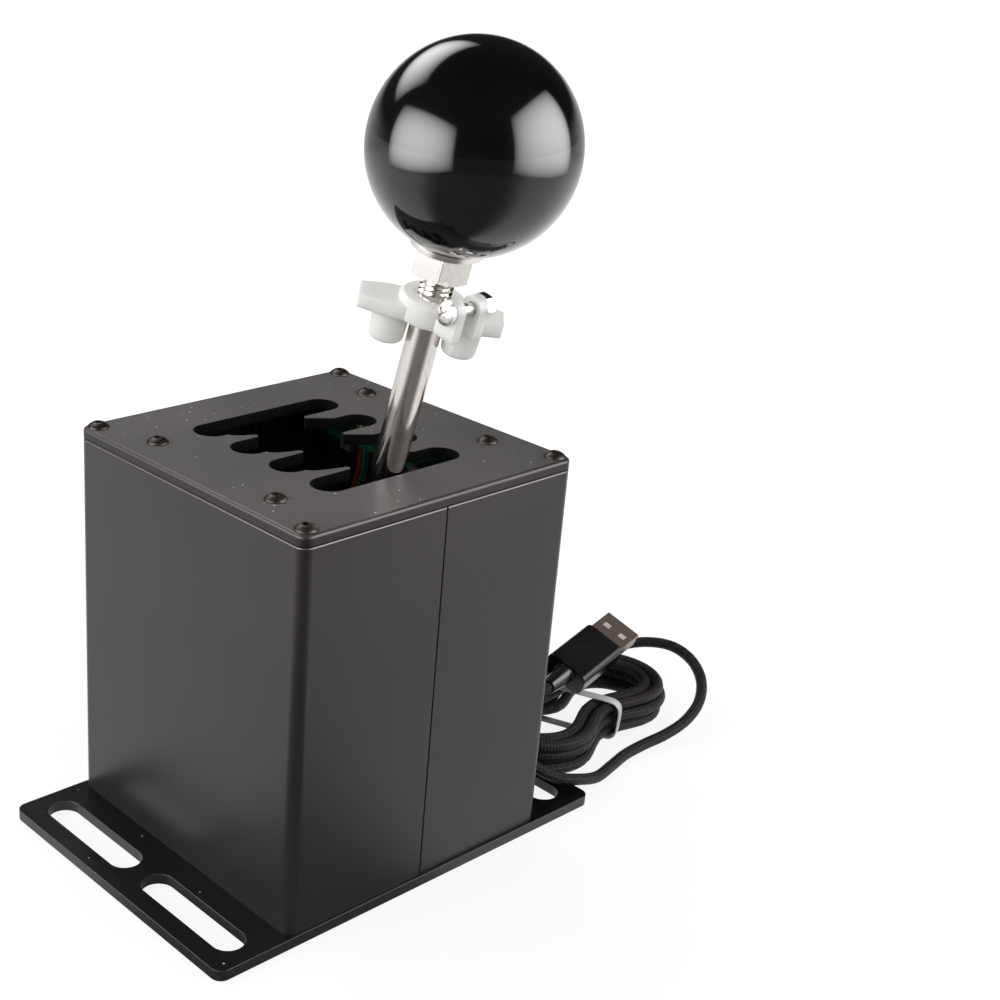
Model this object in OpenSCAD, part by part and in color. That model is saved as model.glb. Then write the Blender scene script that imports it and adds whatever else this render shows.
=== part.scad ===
// Sim racing gear shifter: gated H pattern, gimbal lever with ball knob, contactless sensors, USB lead.
// Frame: +Z up, X left to right, Y rear to front, origin under the middle of the base plate.
// The lever rests in neutral in the fourth column, leaning to the right.

/* [Housing] */
// Outer width and depth of the square housing
housing_w = 90; // [86:1:104]
// Height from the floor to the top face of the gate plate
total_h = 110; // [100:1:130]
// Wall thickness of the two extruded shells
wall_t = 2; // [1.6:0.1:2.4]
// Radius of the upright outer corners
corner_r = 3; // [2.5:0.25:4]
// Gap of the upright seam between the shells
seam_gap = 0.4; // [0.2:0.1:0.6]
// Depth of the tongue behind the seam
tongue_d = 1.6; // [1:0.1:2.4]
// Distance of the corner screws from the outer faces
corner_inset = 3.6; // [3.4:0.1:4.6]
// Radius of the screw channels in the shell corners
channel_r = 3.2; // [2.8:0.1:3.4]

/* [Base plate] */
// How far the base plate stands out beyond the housing at each side
base_side = 1; // [0.5:0.25:4]
// How far each mounting flange stands out beyond the housing
base_flange = 22; // [20:0.5:26]
// Thickness of the base plate
base_t = 3; // [2.5:0.25:4]
// Length of each mounting slot
slot_l = 38; // [24:1:40]
// Width of each mounting slot
slot_w = 9; // [6.5:0.5:10]
// Distance between slot centres across the plate
slot_pitch_x = 44; // [42:1:46]
// Distance of the slot centres from the ends of the base plate
slot_end_d = 10; // [8:0.5:12]

/* [Gate] */
// Thickness of the gate plate
gate_t = 3; // [2.5:0.25:4]
// Distance between neighbouring columns
column_pitch = 15.5; // [15:0.25:17]
// Width of each column
column_w = 9.8; // [9.6:0.1:10.4]
// Distance of the column ends from the housing's outer faces
column_inset = 21.6; // [20:0.2:23]
// Distance of the front tooth tips from the middle of the gate
front_tip_y = 8; // [7:0.25:9]
// Distance of the right rear tooth tip from the middle of the gate
rear_tip_y = 7; // [6.5:0.25:8]
// How much further back each rear tip to the left lies
rear_tip_step = 2.1; // [0:0.1:2.5]

/* [Screws] */
// Thread radius of the small screws
m3_r = 1.45; // [1.3:0.05:1.5]
// Head radius of the small button screws
m3_head_r = 2.85; // [2.6:0.05:3]
// Head height of the small button screws
m3_head_h = 1.65; // [1.4:0.05:2]
// Distance of the sensor board screws from the middle, across
sensor_x = 23.5; // [20:0.5:25]
// Distance of the sensor board screws from the housing's outer faces
sensor_inset = 9.5; // [9:0.25:11]

/* [Lever] */
// Height of the pivot above the floor
pivot_z = 17; // [16:0.5:20]
// Diameter of the lever rod
rod_d = 8; // [7:0.25:8]
// Length of the lever from the pivot to the middle of the knob
lever_l = 180; // [165:1:190]
// Diameter of the ball knob
knob_d = 48; // [45:1:52]
// Distance of the ball's flat underside from its middle
knob_flat = 22.4; // [20:0.2:22.4]
// Width across flats of the knob nut
knob_nut_af = 13; // [12:0.5:14]
// Height of the knob nut
knob_nut_h = 6.5; // [5:0.25:8]
// Diameter of the washer under the knob
washer_d = 17.5; // [16:0.5:18]
// Thickness of the washer under the knob
washer_t = 1.6; // [1:0.1:2]

/* [Nylon clamp] */
// Distance from the knob's underside down to the clamp wings
clamp_drop = 19; // [17:0.5:40]
// Length over both wings
wing_l = 34; // [30:1:40]
// Width of the wings
wing_w = 11; // [10:0.5:13]
// Thickness of the wings
wing_t = 3.4; // [2.5:0.1:4]
// Turn of the wings about the rod
wing_turn = 46; // [40:1:52]
// Radius of the hub round the rod
hub_r = 8; // [7.5:0.1:9]
// Height of the hub
hub_h = 5.4; // [4.5:0.1:6]
// Length of the two bosses under the wings
boss_l = 7.6; // [5:0.2:12]
// Thickness of each clamp ear
ear_t = 2.6; // [2:0.1:3]
// Gap between the clamp ears
ear_gap = 4.6; // [4:0.1:5]

/* [Gimbal] */
// Half width of the cradle across the lever
cradle_x = 13; // [12.5:0.25:15]
// Half depth of the cradle between the brackets
cradle_y = 13.2; // [13:0.2:15]
// Height of the cradle
cradle_h = 14; // [13:0.5:15]
// Radius of the cradle's trunnions
trunnion_r = 4; // [3.5:0.1:4.5]
// Radius of the shift pin
pin_r = 3; // [2.5:0.1:3.2]
// Thickness of the pivot brackets
bracket_t = 4; // [3:0.25:5]
// Half width of the pivot brackets
bracket_x = 10; // [9.5:0.25:12]
// Length of the bracket feet
bracket_foot = 11; // [10:0.5:13]

/* [Electronics] */
// Thickness of the circuit boards
board_t = 1.6; // [1:0.2:2]
// Length of the spacers that hang the sensor boards
spacer_l = 8; // [6:0.5:10]
// Width of the sensor boards
sensor_board_w = 62; // [58:1:66]
// Depth of the sensor boards
sensor_board_d = 14; // [12:0.5:14]
// Height of the controller board's posts
post_h = 6; // [4:0.5:9]

/* [USB lead] */
// Diameter of the braided lead
cord_d = 3.4; // [3:0.1:3.5]
// Loops in each layer of the tied hank
loops_per_layer = 2; // [1:1:2]
// Half length of the hank's straight runs
hank_run = 21; // [18:1:24]
// Width of the tie round the hank
tie_w = 3.2; // [2:0.2:5]

/* [Hidden] */
$fn = 48;

// Small clearances: a slip fit, a running fit and the gap kept between moving faces
slip = 0.05;
run_fit = 0.03;
move_gap = 0.3;
eps = 0.01;

// Housing values
half_w = housing_w / 2;
base_w = housing_w + 2 * base_side;
base_l = housing_w + 2 * base_flange;
inner_w = half_w - wall_t;
gate_z = total_h - gate_t;
shell_h = gate_z - base_t;
screw_xy = half_w - corner_inset;
sensor_y = half_w - sensor_inset;
corner_screw_l = 10;
base_screw_l = 10;
countersink_r = 3;
countersink_h = 1.6;
rib_w = 1.4;
rib_h = 1.4;
rib_ys = [11, 14];

// Gate values
columns = [-1.5, -0.5, 0.5, 1.5] * column_pitch;
column_l = housing_w - 2 * column_inset;
column_end = column_l / 2 - column_w / 2;
front_shoulder_y = column_end - 4.3;
rear_shoulder_y = 1.5 - column_end;
tip_r = 1;
curve_steps = 8;

// Lever values: heights are measured along the rod from the pivot
plate_mid = total_h - gate_t / 2 - pivot_z;
lean = atan(columns[3] / plate_mid);
rod_r = rod_d / 2;
knob_base = lever_l - knob_flat;
nut_base = knob_base - washer_t - knob_nut_h;
clamp_base = knob_base - clamp_drop;
hub_chamfer = 0.8;
boss_r = 4.5;
boss_draft = 0.3;
boss_round = 1;
boss_offset = rod_r + boss_r + 0.2;
ear_tip_r = 3;
ear_x = rod_r + 5.7;
ear_axis_h = hub_h + 1.2;
clamp_screw_r = 1.45;
clamp_head_r = 2.8;
clamp_head_h = 2;
clamp_nut_af = 5.5;
clamp_nut_h = 2.4;
insert_r = 6;
insert_l = 19;
magnet_s = plate_mid - 12;
magnet_h = 6;
magnet_t = 2;
sleeve_t = 1.2;
sleeve_h = 11;
sleeve_flange_h = 1.5;

// Gimbal values
washer_gap_t = 0.9;
cradle_wall = 6;
foot_play = 0.4;
window_x = cradle_x - cradle_wall;
foot_x = window_x - washer_gap_t - foot_play;
foot_r = 6.5;
window_y = foot_r + 1.7;
foot_top = 16;
foot_y = 5.5;
socket_s = 6;
lock_nut_h = 5;
bush_wall = 1.5;
bush_flange_t = 1;
bush_flange_r = trunnion_r + bush_wall + 2;
bracket_y = cradle_y + move_gap + bush_flange_t;
clip_t = 0.8;
clip_y = bracket_y + bracket_t + move_gap;
trunnion_end = clip_y + clip_t + 1.2;
clip_w = 2;
groove_d = 0.7;
bracket_screw_x = 5.5;
m4_r = 1.95;
m4_head_r = 3.8;
m4_head_h = 2.2;
bracket_foot_t = 3;

// Electronics values
sensor_board_z = gate_z - spacer_l - board_t;
spacer_r = 2.75;
hall_w = 4.1;
hall_t = 1.6;
hall_h = 3.2;
hall_gap = 1.2;
hall_leg = 0.5;
hall_leg_pitch = 1.27;
hall_leg_run = 4;
hall_scale = (sensor_board_z - pivot_z) / plate_mid;
controller_x = 13 - half_w;
controller_y = half_w - 33;
controller_w = 18;
controller_l = 36;
controller_z = base_t + post_h;
post_r = 2;
post_inset = 2.4;
chip_w = 9;
chip_h = 1.2;
socket_w = 8;
socket_d = 5;
socket_h = 4.6;
wire_r = 0.7;
wire_pitch = 1.8;
wire_sides = 6;

// Lead values: the exit is low on the front shell, behind the housing as seen from the driver's seat
cord_r = cord_d / 2;
exit_z = 22;
relief_l = 12;
relief_flange_r = 5.2;
relief_flange_t = 1.6;
relief_hole_r = 3.4;
relief_neck = 0.4;
inner_lead_r = 1.2;
cord_sides = 8;
hank_sides = 6;
hank_rings = 24;
hank_x = 14;
hank_y = half_w + 49;
hank_yaw = 9;
hank_layers = 3;
hank_step = cord_d + 0.8;
hank_layer_h = cord_d + 0.5;
hank_fold_r = 10.25;
hank_outer_r = hank_fold_r + 2 * hank_step;
hank_waist = 5;
hank_floor = 0.4;
flange_edge = base_l / 2;
lift_top = base_t + 0.2;
hank_far = half_w + 90;
hank_slope = lift_top / (hank_far - flange_edge);
hank_turns = hank_layers * loops_per_layer;
run_share = 1 / 6;
tie_t = 0.8;
tie_gap = 0.45;
tie_slack = 3;
tie_yaw = 24;
tie_corner_r = cord_r + tie_gap;
plug_yaw = 10;
plug_pitch = 6;
plug_roll = 22;
plug_body_l = 22;
plug_body_w = 14;
plug_body_h = 7.6;
plug_taper_l = 9;
plug_shell_l = 12;
plug_shell_w = 12;
plug_shell_h = 4.5;
plug_shell_t = 0.4;
plug_tongue_t = 1.8;
plug_hole = 2.3;
plug_hole_x = 2.9;
plug_hole_y = 5.4;

// Route of the lead from the strain relief down onto the hank: share of the way along, of the shift to
// the left and of the drop
cord_route = [
    [0, 0, 0], [0.2, 0.04, 0.05], [0.42, 0.18, 0.29], [0.66, 0.44, 0.65], [0.86, 0.74, 0.92], [1, 1, 1]
];
exit_shift = 1.5;

// Route of the loose end: one wide loop round the hank's far end, along the floor beside it, up by the
// housing and back along its top. Y is measured from the housing's front face.
tail_route = [
    [-9.3, 74, 4.2], [-8.3, 82, 6], [-3.8, 90, 9.2], [3.5, 95.8, 12.5], [12.5, 98.8, 14], [21.5, 98, 13],
    [29.5, 93.5, 10.5], [35, 86, 7.5], [37.3, 77, 4.8], [37.2, 67.5, 3], [36.3, 58, 2.2], [36.6, 49, 2],
    [38.5, 40, 2], [40.5, 31.5, 2.6], [41, 23.5, 4.9], [38.8, 16.5, 6.8], [34.5, 11, 10], [28.5, 7.8, 14],
    [22.5, 8.8, 17.4], [18.2, 14, 19.3], [16.2, 21, 19.8], [15.5, 29, 19.6], [15, 36, 19.8]
];

// Routes of the sensor wires: X from the housing's left face, Y from its front or rear face or from the
// controller, and share of the height between the controller and the sensor board
front_wire_route = [
    [25, -12.5, 0.89], [19, -11, 0.73], [11, -11, 0.48], [8, -15, 0.22], [11, -21, 0.05], [13, -25, 0.02]
];
rear_wire_route = [[24, 12, 0.87], [17, 11, 0.66], [9, 15, 0.4], [7, 27, 0.18]];
rear_wire_end = [[10, -16, 0.05], [13, -7, 0.03]];
wire_start_x = 5.5 - sensor_x;
wire_start_drop = 3.5;
wire_edge = 2.5;

// Route of the lead inside the housing, from the strain relief to the controller's socket:
// share of the way across, Y from the housing's front face, share of the drop
inner_route = [[0, -6, 0.05], [0.12, -9.4, 0.27], [0.38, -10.4, 0.55], [0.7, -8.8, 0.86], [0.92, -8.4, 0.98]];
inner_run_y = -10.8;

// Turns children from the lever's own upright frame to its rest lean about the select axis
module lever_frame() {
    translate([0, 0, pivot_z]) rotate([0, lean, 0]) children();
}

// Rounded square plate, lower face at z = 0
module rounded_plate(w, l, t, r) {
    linear_extrude(t) {
        square([w - 2 * r, l], center = true);
        square([w, l - 2 * r], center = true);
        for (x = [-1, 1], y = [-1, 1])
            translate([x * (w / 2 - r), y * (l / 2 - r)]) circle(r);
    }
}

// Stadium outline along X or Y
module stadium_x(l, w) {
    square([l - w, w], center = true);
    for (x = [-1, 1]) translate([x * (l - w) / 2, 0]) circle(d = w);
}

module stadium_y(l, w) {
    rotate(90) stadium_x(l, w);
}

module at_corners(x, y) {
    for (sx = [-1, 1], sy = [-1, 1]) translate([sx * x, sy * y, 0]) children();
}

// Button head screw, head standing on z = 0 and shank below it
module button_screw(r, l, head_r, head_h) {
    dome_r = (head_r * head_r + head_h * head_h) / (2 * head_h) + 0.4;
    socket_r = head_r * 0.42;
    difference() {
        union() {
            intersection() {
                translate([0, 0, head_h - dome_r]) sphere(dome_r);
                cylinder(r = head_r, h = head_h);
            }
            translate([0, 0, -l]) cylinder(r = r, h = l + eps);
        }
        translate([0, 0, head_h * 0.35]) cylinder(r = socket_r, h = head_h, $fn = 6);
    }
}

// Hexagon nut with both faces chamfered, lower face at z = 0
module hex_nut(af, h, bore_r) {
    corner = af / 2 / cos(30);
    chamfer = (corner - af / 2) * 0.9;
    rise = chamfer * 0.6;
    difference() {
        intersection() {
            cylinder(r = corner, h = h, $fn = 6);
            rotate_extrude() polygon([
                [0, 0], [corner - chamfer, 0], [corner + eps, rise], [corner + eps, h - rise],
                [corner - chamfer, h], [0, h]
            ]);
        }
        translate([0, 0, -1]) cylinder(r = bore_r, h = h + 2);
    }
}

// Open retaining clip round a shaft along Z, lower face at z = 0
module e_clip(shaft_r) {
    difference() {
        cylinder(r = shaft_r + clip_w, h = clip_t);
        translate([0, 0, -1]) cylinder(r = shaft_r - groove_d + slip, h = clip_t + 2);
        translate([0, -(shaft_r - groove_d), -1]) cube([shaft_r * 3, 2 * (shaft_r - groove_d), clip_t + 2]);
    }
}

// Ring groove cut for a retaining clip, on a shaft along Z
module clip_groove(shaft_r) {
    difference() {
        translate([0, 0, -slip]) cylinder(r = shaft_r + 1, h = clip_t + 2 * slip);
        translate([0, 0, -1]) cylinder(r = shaft_r - groove_d, h = clip_t + 2);
    }
}

function unit(v) = v / norm(v);

// Direction of a route at point i
function heading(p, i) = unit(p[min(i + 1, len(p) - 1)] - p[max(i - 1, 0)]);

// Ring of points round a route
function ring(c, dir, up, r, n) =
    let (side = unit(cross(dir, up)), top = cross(side, dir))
    [for (k = [0:n - 1]) c + r * (cos(360 * k / n) * side + sin(360 * k / n) * top)];

// One closed tube along a list of points; first and last give the end directions when set
module tube(p, r, n, up, first = undef, last = undef) {
    m = len(p);
    dirs = [for (i = [0:m - 1])
        i == 0 && !is_undef(first) ? first : i == m - 1 && !is_undef(last) ? last : heading(p, i)];
    pts = [for (i = [0:m - 1]) each ring(p[i], dirs[i], up, r, n)];
    sides = [for (i = [0:m - 2], k = [0:n - 1])
        let (a = i * n + k, b = i * n + (k + 1) % n)
        each [[a, b, a + n], [b, b + n, a + n]]];
    start_cap = [for (k = [1:n - 2]) [0, k + 1, k]];
    end_cap = [for (k = [1:n - 2]) [(m - 1) * n, (m - 1) * n + k, (m - 1) * n + k + 1]];
    polyhedron(points = pts, faces = concat(sides, start_cap, end_cap), convexity = 10);
}

// Smooth points through a hand-chosen route
function smooth(p, steps) = [
    for (i = [0:len(p) - 2], s = [0:steps - 1])
        let (a = p[max(i - 1, 0)], b = p[i], c = p[i + 1], d = p[min(i + 2, len(p) - 1)], t = s / steps)
        0.5 * (2 * b + (c - a) * t + (2 * a - 5 * b + 4 * c - d) * t * t
            + (3 * b - a - 3 * c + d) * t * t * t),
    p[len(p) - 1]
];

// Base plate with its four mounting slots and the holes of the parts on it
module base_plate() {
    slot_y = base_l / 2 - slot_end_d;
    color("#1c1c1e") difference() {
        rounded_plate(base_w, base_l, base_t, corner_r);
        at_corners(slot_pitch_x / 2, slot_y)
            translate([0, 0, -1]) linear_extrude(base_t + 2) stadium_x(slot_l, slot_w);
        at_corners(screw_xy, screw_xy) {
            translate([0, 0, -1]) cylinder(r = m3_r + 0.1, h = base_t + 2);
            translate([0, 0, -eps]) cylinder(r1 = countersink_r, r2 = m3_r + 0.1, h = countersink_h);
        }
        at_corners(bracket_screw_x, bracket_y + bracket_t + bracket_foot / 2)
            translate([0, 0, -1]) cylinder(r = m4_r + slip, h = base_t + 2);
    }
}

// Outline of one shell: half of a thin square tube with ribs and screw channels inside
module shell_profile() {
    inner_r = max(corner_r - wall_t, 0.5);
    difference() {
        union() {
            difference() {
                square_round(housing_w, corner_r);
                square_round(2 * inner_w, inner_r);
            }
            intersection() {
                square_round(housing_w, corner_r);
                for (x = [-1, 1], y = [-1, 1]) translate([x, y] * screw_xy) circle(channel_r);
            }
            for (x = [-1, 1], y = [-1, 1], ry = rib_ys)
                translate([x * (inner_w - rib_h / 2 + eps), y * ry]) square([rib_h, rib_w], center = true);
        }
        for (x = [-1, 1], y = [-1, 1]) translate([x, y] * screw_xy) circle(m3_r + slip);
    }
}

module square_round(w, r) {
    square([w - 2 * r, w], center = true);
    square([w, w - 2 * r], center = true);
    for (x = [-1, 1], y = [-1, 1]) translate([x, y] * (w / 2 - r)) circle(r);
}

module shell_half(side) {
    translate([0, 0, base_t]) linear_extrude(shell_h) intersection() {
        shell_profile();
        translate([0, side * (half_w + seam_gap / 2)]) square([2 * housing_w, housing_w], center = true);
    }
}

// Rear half, with the tongues that close the seams
module rear_shell() {
    tongue_t = wall_t * 0.4;
    color("#3a3839") {
        shell_half(-1);
        for (x = [-1, 1])
            translate([x * (inner_w + tongue_t / 2 + slip), tongue_d / 2 - seam_gap / 2 - eps, base_t])
                translate([0, 0, shell_h / 2]) cube([tongue_t, tongue_d + seam_gap, shell_h], center = true);
    }
}

// Front half, rebated for the tongues and bored for the lead
module front_shell() {
    rebate_t = wall_t * 0.4 + 3 * slip;
    rebate_y = tongue_d + seam_gap + 0.2;
    color("#3a3839") difference() {
        shell_half(1);
        for (x = [-1, 1])
            translate([x * (inner_w + rebate_t / 2 - eps), rebate_y / 2 - eps, base_t + shell_h / 2])
                cube([rebate_t + 2 * eps, rebate_y, shell_h + 2], center = true);
        translate([exit_x, half_w + 1, exit_z]) rotate([90, 0, 0])
            cylinder(r = relief_hole_r + slip, h = wall_t + 2);
    }
}

// Channel between the gate's teeth: narrow slanted tips in front, wave crests behind
function front_tooth(i) =
    let (xl = columns[i] + column_w / 2, xr = columns[i + 1] - column_w / 2)
    concat(
        [for (k = [0:curve_steps]) let (a = 180 + 120 * k / curve_steps)
            [xl + tip_r + tip_r * cos(a), front_tip_y + tip_r + tip_r * sin(a)]],
        [[xr, front_shoulder_y]]
    );

function rear_tooth(i) =
    let (
        xl = columns[i] + column_w / 2,
        xr = columns[i + 1] - column_w / 2,
        tip = -rear_tip_y - rear_tip_step * (2 - i)
    )
    concat(
        [for (k = [0:curve_steps]) let (a = 135 * k / curve_steps)
            [xr - tip_r + tip_r * cos(a), tip - tip_r + tip_r * sin(a)]],
        [for (k = [1:curve_steps]) let (t = k / curve_steps)
            [xr - 1.7 * tip_r - (xr - 1.7 * tip_r - xl) * t,
             tip - 0.3 * tip_r + (rear_shoulder_y - tip + 0.3 * tip_r) * (1 - pow(1 - t, 2))]]
    );

module gate_cut() {
    edge = columns[3] + column_w / 2;
    for (x = columns) translate([x, 0]) stadium_y(column_l, column_w);
    polygon(concat(
        [[-edge, 0]],
        [for (i = [0:2]) each front_tooth(i)],
        [[edge, 0]],
        [for (i = [2:-1:0]) each rear_tooth(i)]
    ));
}

module gate_plate() {
    color("#2b2a2b") difference() {
        translate([0, 0, gate_z]) rounded_plate(housing_w, housing_w, gate_t, corner_r);
        translate([0, 0, gate_z - 1]) linear_extrude(gate_t + 2) gate_cut();
        at_corners(screw_xy, screw_xy) translate([0, 0, gate_z - 1]) cylinder(r = m3_r + 0.1, h = gate_t + 2);
        at_corners(sensor_x, sensor_y) translate([0, 0, gate_z - 1]) cylinder(r = m3_r + 0.1, h = gate_t + 2);
    }
}

module gate_corner_screws() {
    color("#4a443f") at_corners(screw_xy, screw_xy)
        translate([0, 0, total_h]) button_screw(m3_r, gate_t + corner_screw_l, m3_head_r, m3_head_h);
}

module gate_sensor_screws() {
    color("#4a443f") at_corners(sensor_x, sensor_y)
        translate([0, 0, total_h])
            button_screw(m3_r, gate_t + spacer_l + board_t + 2, m3_head_r, m3_head_h);
}

// Flush screws that hold the base plate under the shells
module base_screws() {
    color("#4a443f") at_corners(screw_xy, screw_xy) difference() {
        union() {
            cylinder(r1 = countersink_r - 0.1, r2 = m3_r, h = countersink_h - 0.1);
            cylinder(r = m3_r, h = base_t + base_screw_l);
        }
        translate([0, 0, -1]) cylinder(r = 1.1, h = 1.9, $fn = 6);
    }
}

// Angle bracket: an upright ear with the bush seat, and a foot screwed to the base plate
module pivot_bracket(side) {
    seat_r = trunnion_r + run_fit + bush_wall;
    foot_y0 = bracket_y + bracket_t - eps;
    color("#8d9094") rotate([0, 0, side > 0 ? 0 : 180]) difference() {
        union() {
            translate([-bracket_x, bracket_y, base_t]) cube([2 * bracket_x, bracket_t, pivot_z - base_t]);
            translate([0, bracket_y, pivot_z]) rotate([-90, 0, 0]) cylinder(r = bracket_x, h = bracket_t);
            translate([-bracket_x, foot_y0, base_t]) cube([2 * bracket_x, bracket_foot, bracket_foot_t]);
        }
        translate([0, bracket_y - 1, pivot_z]) rotate([-90, 0, 0])
            cylinder(r = seat_r + 0.02, h = bracket_t + 2);
        for (x = [-1, 1])
            translate([x * bracket_screw_x, bracket_y + bracket_t + bracket_foot / 2, base_t - 1])
                cylinder(r = m4_r + 0.15, h = bracket_foot_t + 2);
    }
}

module pivot_bracket_rear() {
    pivot_bracket(-1);
}

module pivot_bracket_front() {
    pivot_bracket(1);
}

module bracket_screws() {
    color("#b9bcc0") at_corners(bracket_screw_x, bracket_y + bracket_t + bracket_foot / 2)
        translate([0, 0, base_t + bracket_foot_t])
            button_screw(m4_r, bracket_foot_t + base_t - 0.4, m4_head_r, m4_head_h);
}

// Flanged bronze bushes in the two brackets
module pivot_bushes() {
    bore = trunnion_r + run_fit;
    color("#b08d57") for (turn = [0, 180]) rotate([0, 0, turn])
        translate([0, bracket_y - bush_flange_t, pivot_z]) rotate([-90, 0, 0]) difference() {
            union() {
                cylinder(r = bush_flange_r, h = bush_flange_t);
                cylinder(r = bore + bush_wall, h = bush_flange_t + bracket_t);
            }
            translate([0, 0, -1]) cylinder(r = bore, h = bush_flange_t + bracket_t + 2);
        }
}

// Gimbal cradle: swings on the select axis and carries the shift pin
module cradle() {
    color("#9aa0a6") lever_frame() difference() {
        union() {
            translate([0, 0, -cradle_h / 2]) rounded_plate(2 * cradle_x, 2 * cradle_y, cradle_h, 3);
            for (turn = [0, 180]) rotate([0, 0, turn])
                rotate([-90, 0, 0]) difference() {
                    cylinder(r = trunnion_r, h = trunnion_end);
                    translate([0, 0, clip_y]) clip_groove(trunnion_r);
                }
        }
        translate([0, 0, -cradle_h]) linear_extrude(2 * cradle_h)
            square([2 * window_x, 2 * window_y], center = true);
        rotate([0, 90, 0]) cylinder(r = pin_r + slip, h = 4 * cradle_x, center = true);
    }
}

module trunnion_clips() {
    color("#5b5f63") lever_frame() for (turn = [0, 180]) rotate([0, 0, turn])
        translate([0, clip_y, 0]) rotate([-90, 0, 0]) e_clip(trunnion_r);
}

module shift_pin() {
    pin_l = 2 * (cradle_x + clip_t + 1.4);
    color("#c3c6ca") lever_frame() rotate([0, 90, 0]) difference() {
        cylinder(r = pin_r, h = pin_l, center = true);
        for (end = [0, 180]) rotate([0, end, 0]) translate([0, 0, cradle_x + 2 * slip]) clip_groove(pin_r);
    }
}

module pin_clips() {
    color("#5b5f63") lever_frame() for (end = [90, -90]) rotate([0, end, 0])
        translate([0, 0, cradle_x + 2 * slip]) e_clip(pin_r);
}

// Nylon washers whose drag keeps the lever where it is put
module friction_washers() {
    color("#e6e2d6") lever_frame() for (end = [90, -90]) rotate([0, end, 0])
        translate([0, 0, window_x - washer_gap_t - slip]) difference() {
            cylinder(r = foot_r, h = washer_gap_t);
            translate([0, 0, -1]) cylinder(r = pin_r + slip, h = washer_gap_t + 2);
        }
}

// Foot of the lever: turns on the shift pin and takes the rod in a threaded socket
module lever_foot() {
    color("#9aa0a6") lever_frame() difference() {
        union() {
            rotate([0, 90, 0]) cylinder(r = foot_r, h = 2 * foot_x, center = true);
            translate([-foot_x, -foot_y, 0]) cube([2 * foot_x, 2 * foot_y, foot_top]);
        }
        rotate([0, 90, 0]) cylinder(r = pin_r + run_fit, h = 4 * foot_x, center = true);
        translate([0, 0, socket_s]) cylinder(r = rod_r + slip, h = foot_top);
    }
}

module foot_lock_nut() {
    color("#c9ccd0") lever_frame() translate([0, 0, foot_top + slip])
        hex_nut(knob_nut_af, lock_nut_h, rod_r + slip);
}

module lever_rod() {
    color("#c8c6c4") lever_frame() translate([0, 0, socket_s + slip])
        cylinder(r = rod_r, h = knob_base + insert_l - 4 - socket_s - slip);
}

// Flanged sleeve on the rod below the gate, with a ring magnet that the sensors read
module magnet_sleeve() {
    color("#202022") lever_frame() translate([0, 0, magnet_s - magnet_h / 2 - sleeve_flange_h]) difference() {
        union() {
            cylinder(r = rod_r + sleeve_t + magnet_t, h = sleeve_flange_h);
            cylinder(r = rod_r + sleeve_t, h = sleeve_h);
        }
        translate([0, 0, -1]) cylinder(r = rod_r + slip, h = sleeve_h + 2);
    }
}

module ring_magnet() {
    color("#8f8f93") lever_frame() translate([0, 0, magnet_s - magnet_h / 2]) difference() {
        cylinder(r = rod_r + sleeve_t + magnet_t, h = magnet_h);
        translate([0, 0, -1]) cylinder(r = rod_r + sleeve_t + slip, h = magnet_h + 2);
    }
}

// Moulded nylon clamp: wings, hub, two hanging bosses and a pair of pinch ears
module lever_clamp() {
    color("#e9ece6") lever_frame() translate([0, 0, clamp_base]) difference() {
        union() {
            rotate([0, 0, wing_turn]) {
                linear_extrude(wing_t) wing_outline();
                for (s = [-1, 1]) translate([s * boss_offset, 0, 0]) clamp_boss();
            }
            rotate_extrude() polygon([
                [0, 0], [hub_r, 0], [hub_r, hub_h - hub_chamfer], [hub_r - hub_chamfer, hub_h], [0, hub_h]
            ]);
            for (s = [-1, 1]) translate([0, s * (ear_gap + ear_t) / 2, 0]) clamp_ear();
        }
        translate([0, 0, -boss_l - 1]) cylinder(r = rod_r + slip, h = boss_l + hub_h + 20);
        translate([0, -ear_gap / 2, -boss_l - 1]) cube([hub_r + 10, ear_gap, boss_l + hub_h + 20]);
        translate([ear_x, 0, ear_axis_h]) rotate([90, 0, 0])
            cylinder(r = clamp_screw_r + 0.15, h = 4 * hub_r, center = true);
    }
}

// Plan outline of the wings, drawn in towards their square tips
module wing_outline() {
    root = wing_l * 0.3;
    tip_w = wing_w * 0.66;
    polygon([
        [-wing_l / 2, -tip_w / 2], [-root, -wing_w / 2], [root, -wing_w / 2], [wing_l / 2, -tip_w / 2],
        [wing_l / 2, tip_w / 2], [root, wing_w / 2], [-root, wing_w / 2], [-wing_l / 2, tip_w / 2]
    ]);
}

// Boss under a wing, drafted and rounded at its lower end
module clamp_boss() {
    low_r = boss_r - boss_draft;
    rotate_extrude() polygon(concat(
        [[0, eps], [0, -boss_l]],
        [for (a = [-90:30:0]) [
            low_r - boss_round + boss_round * cos(a),
            boss_round - boss_l + boss_round * sin(a)
        ]],
        [[boss_r, eps]]
    ));
}

module clamp_ear() {
    rotate([90, 0, 0]) linear_extrude(ear_t, center = true) {
        translate([ear_x, ear_axis_h]) circle(ear_tip_r);
        translate([ear_x - ear_tip_r, 0]) square([2 * ear_tip_r, ear_axis_h]);
    }
}

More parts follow.
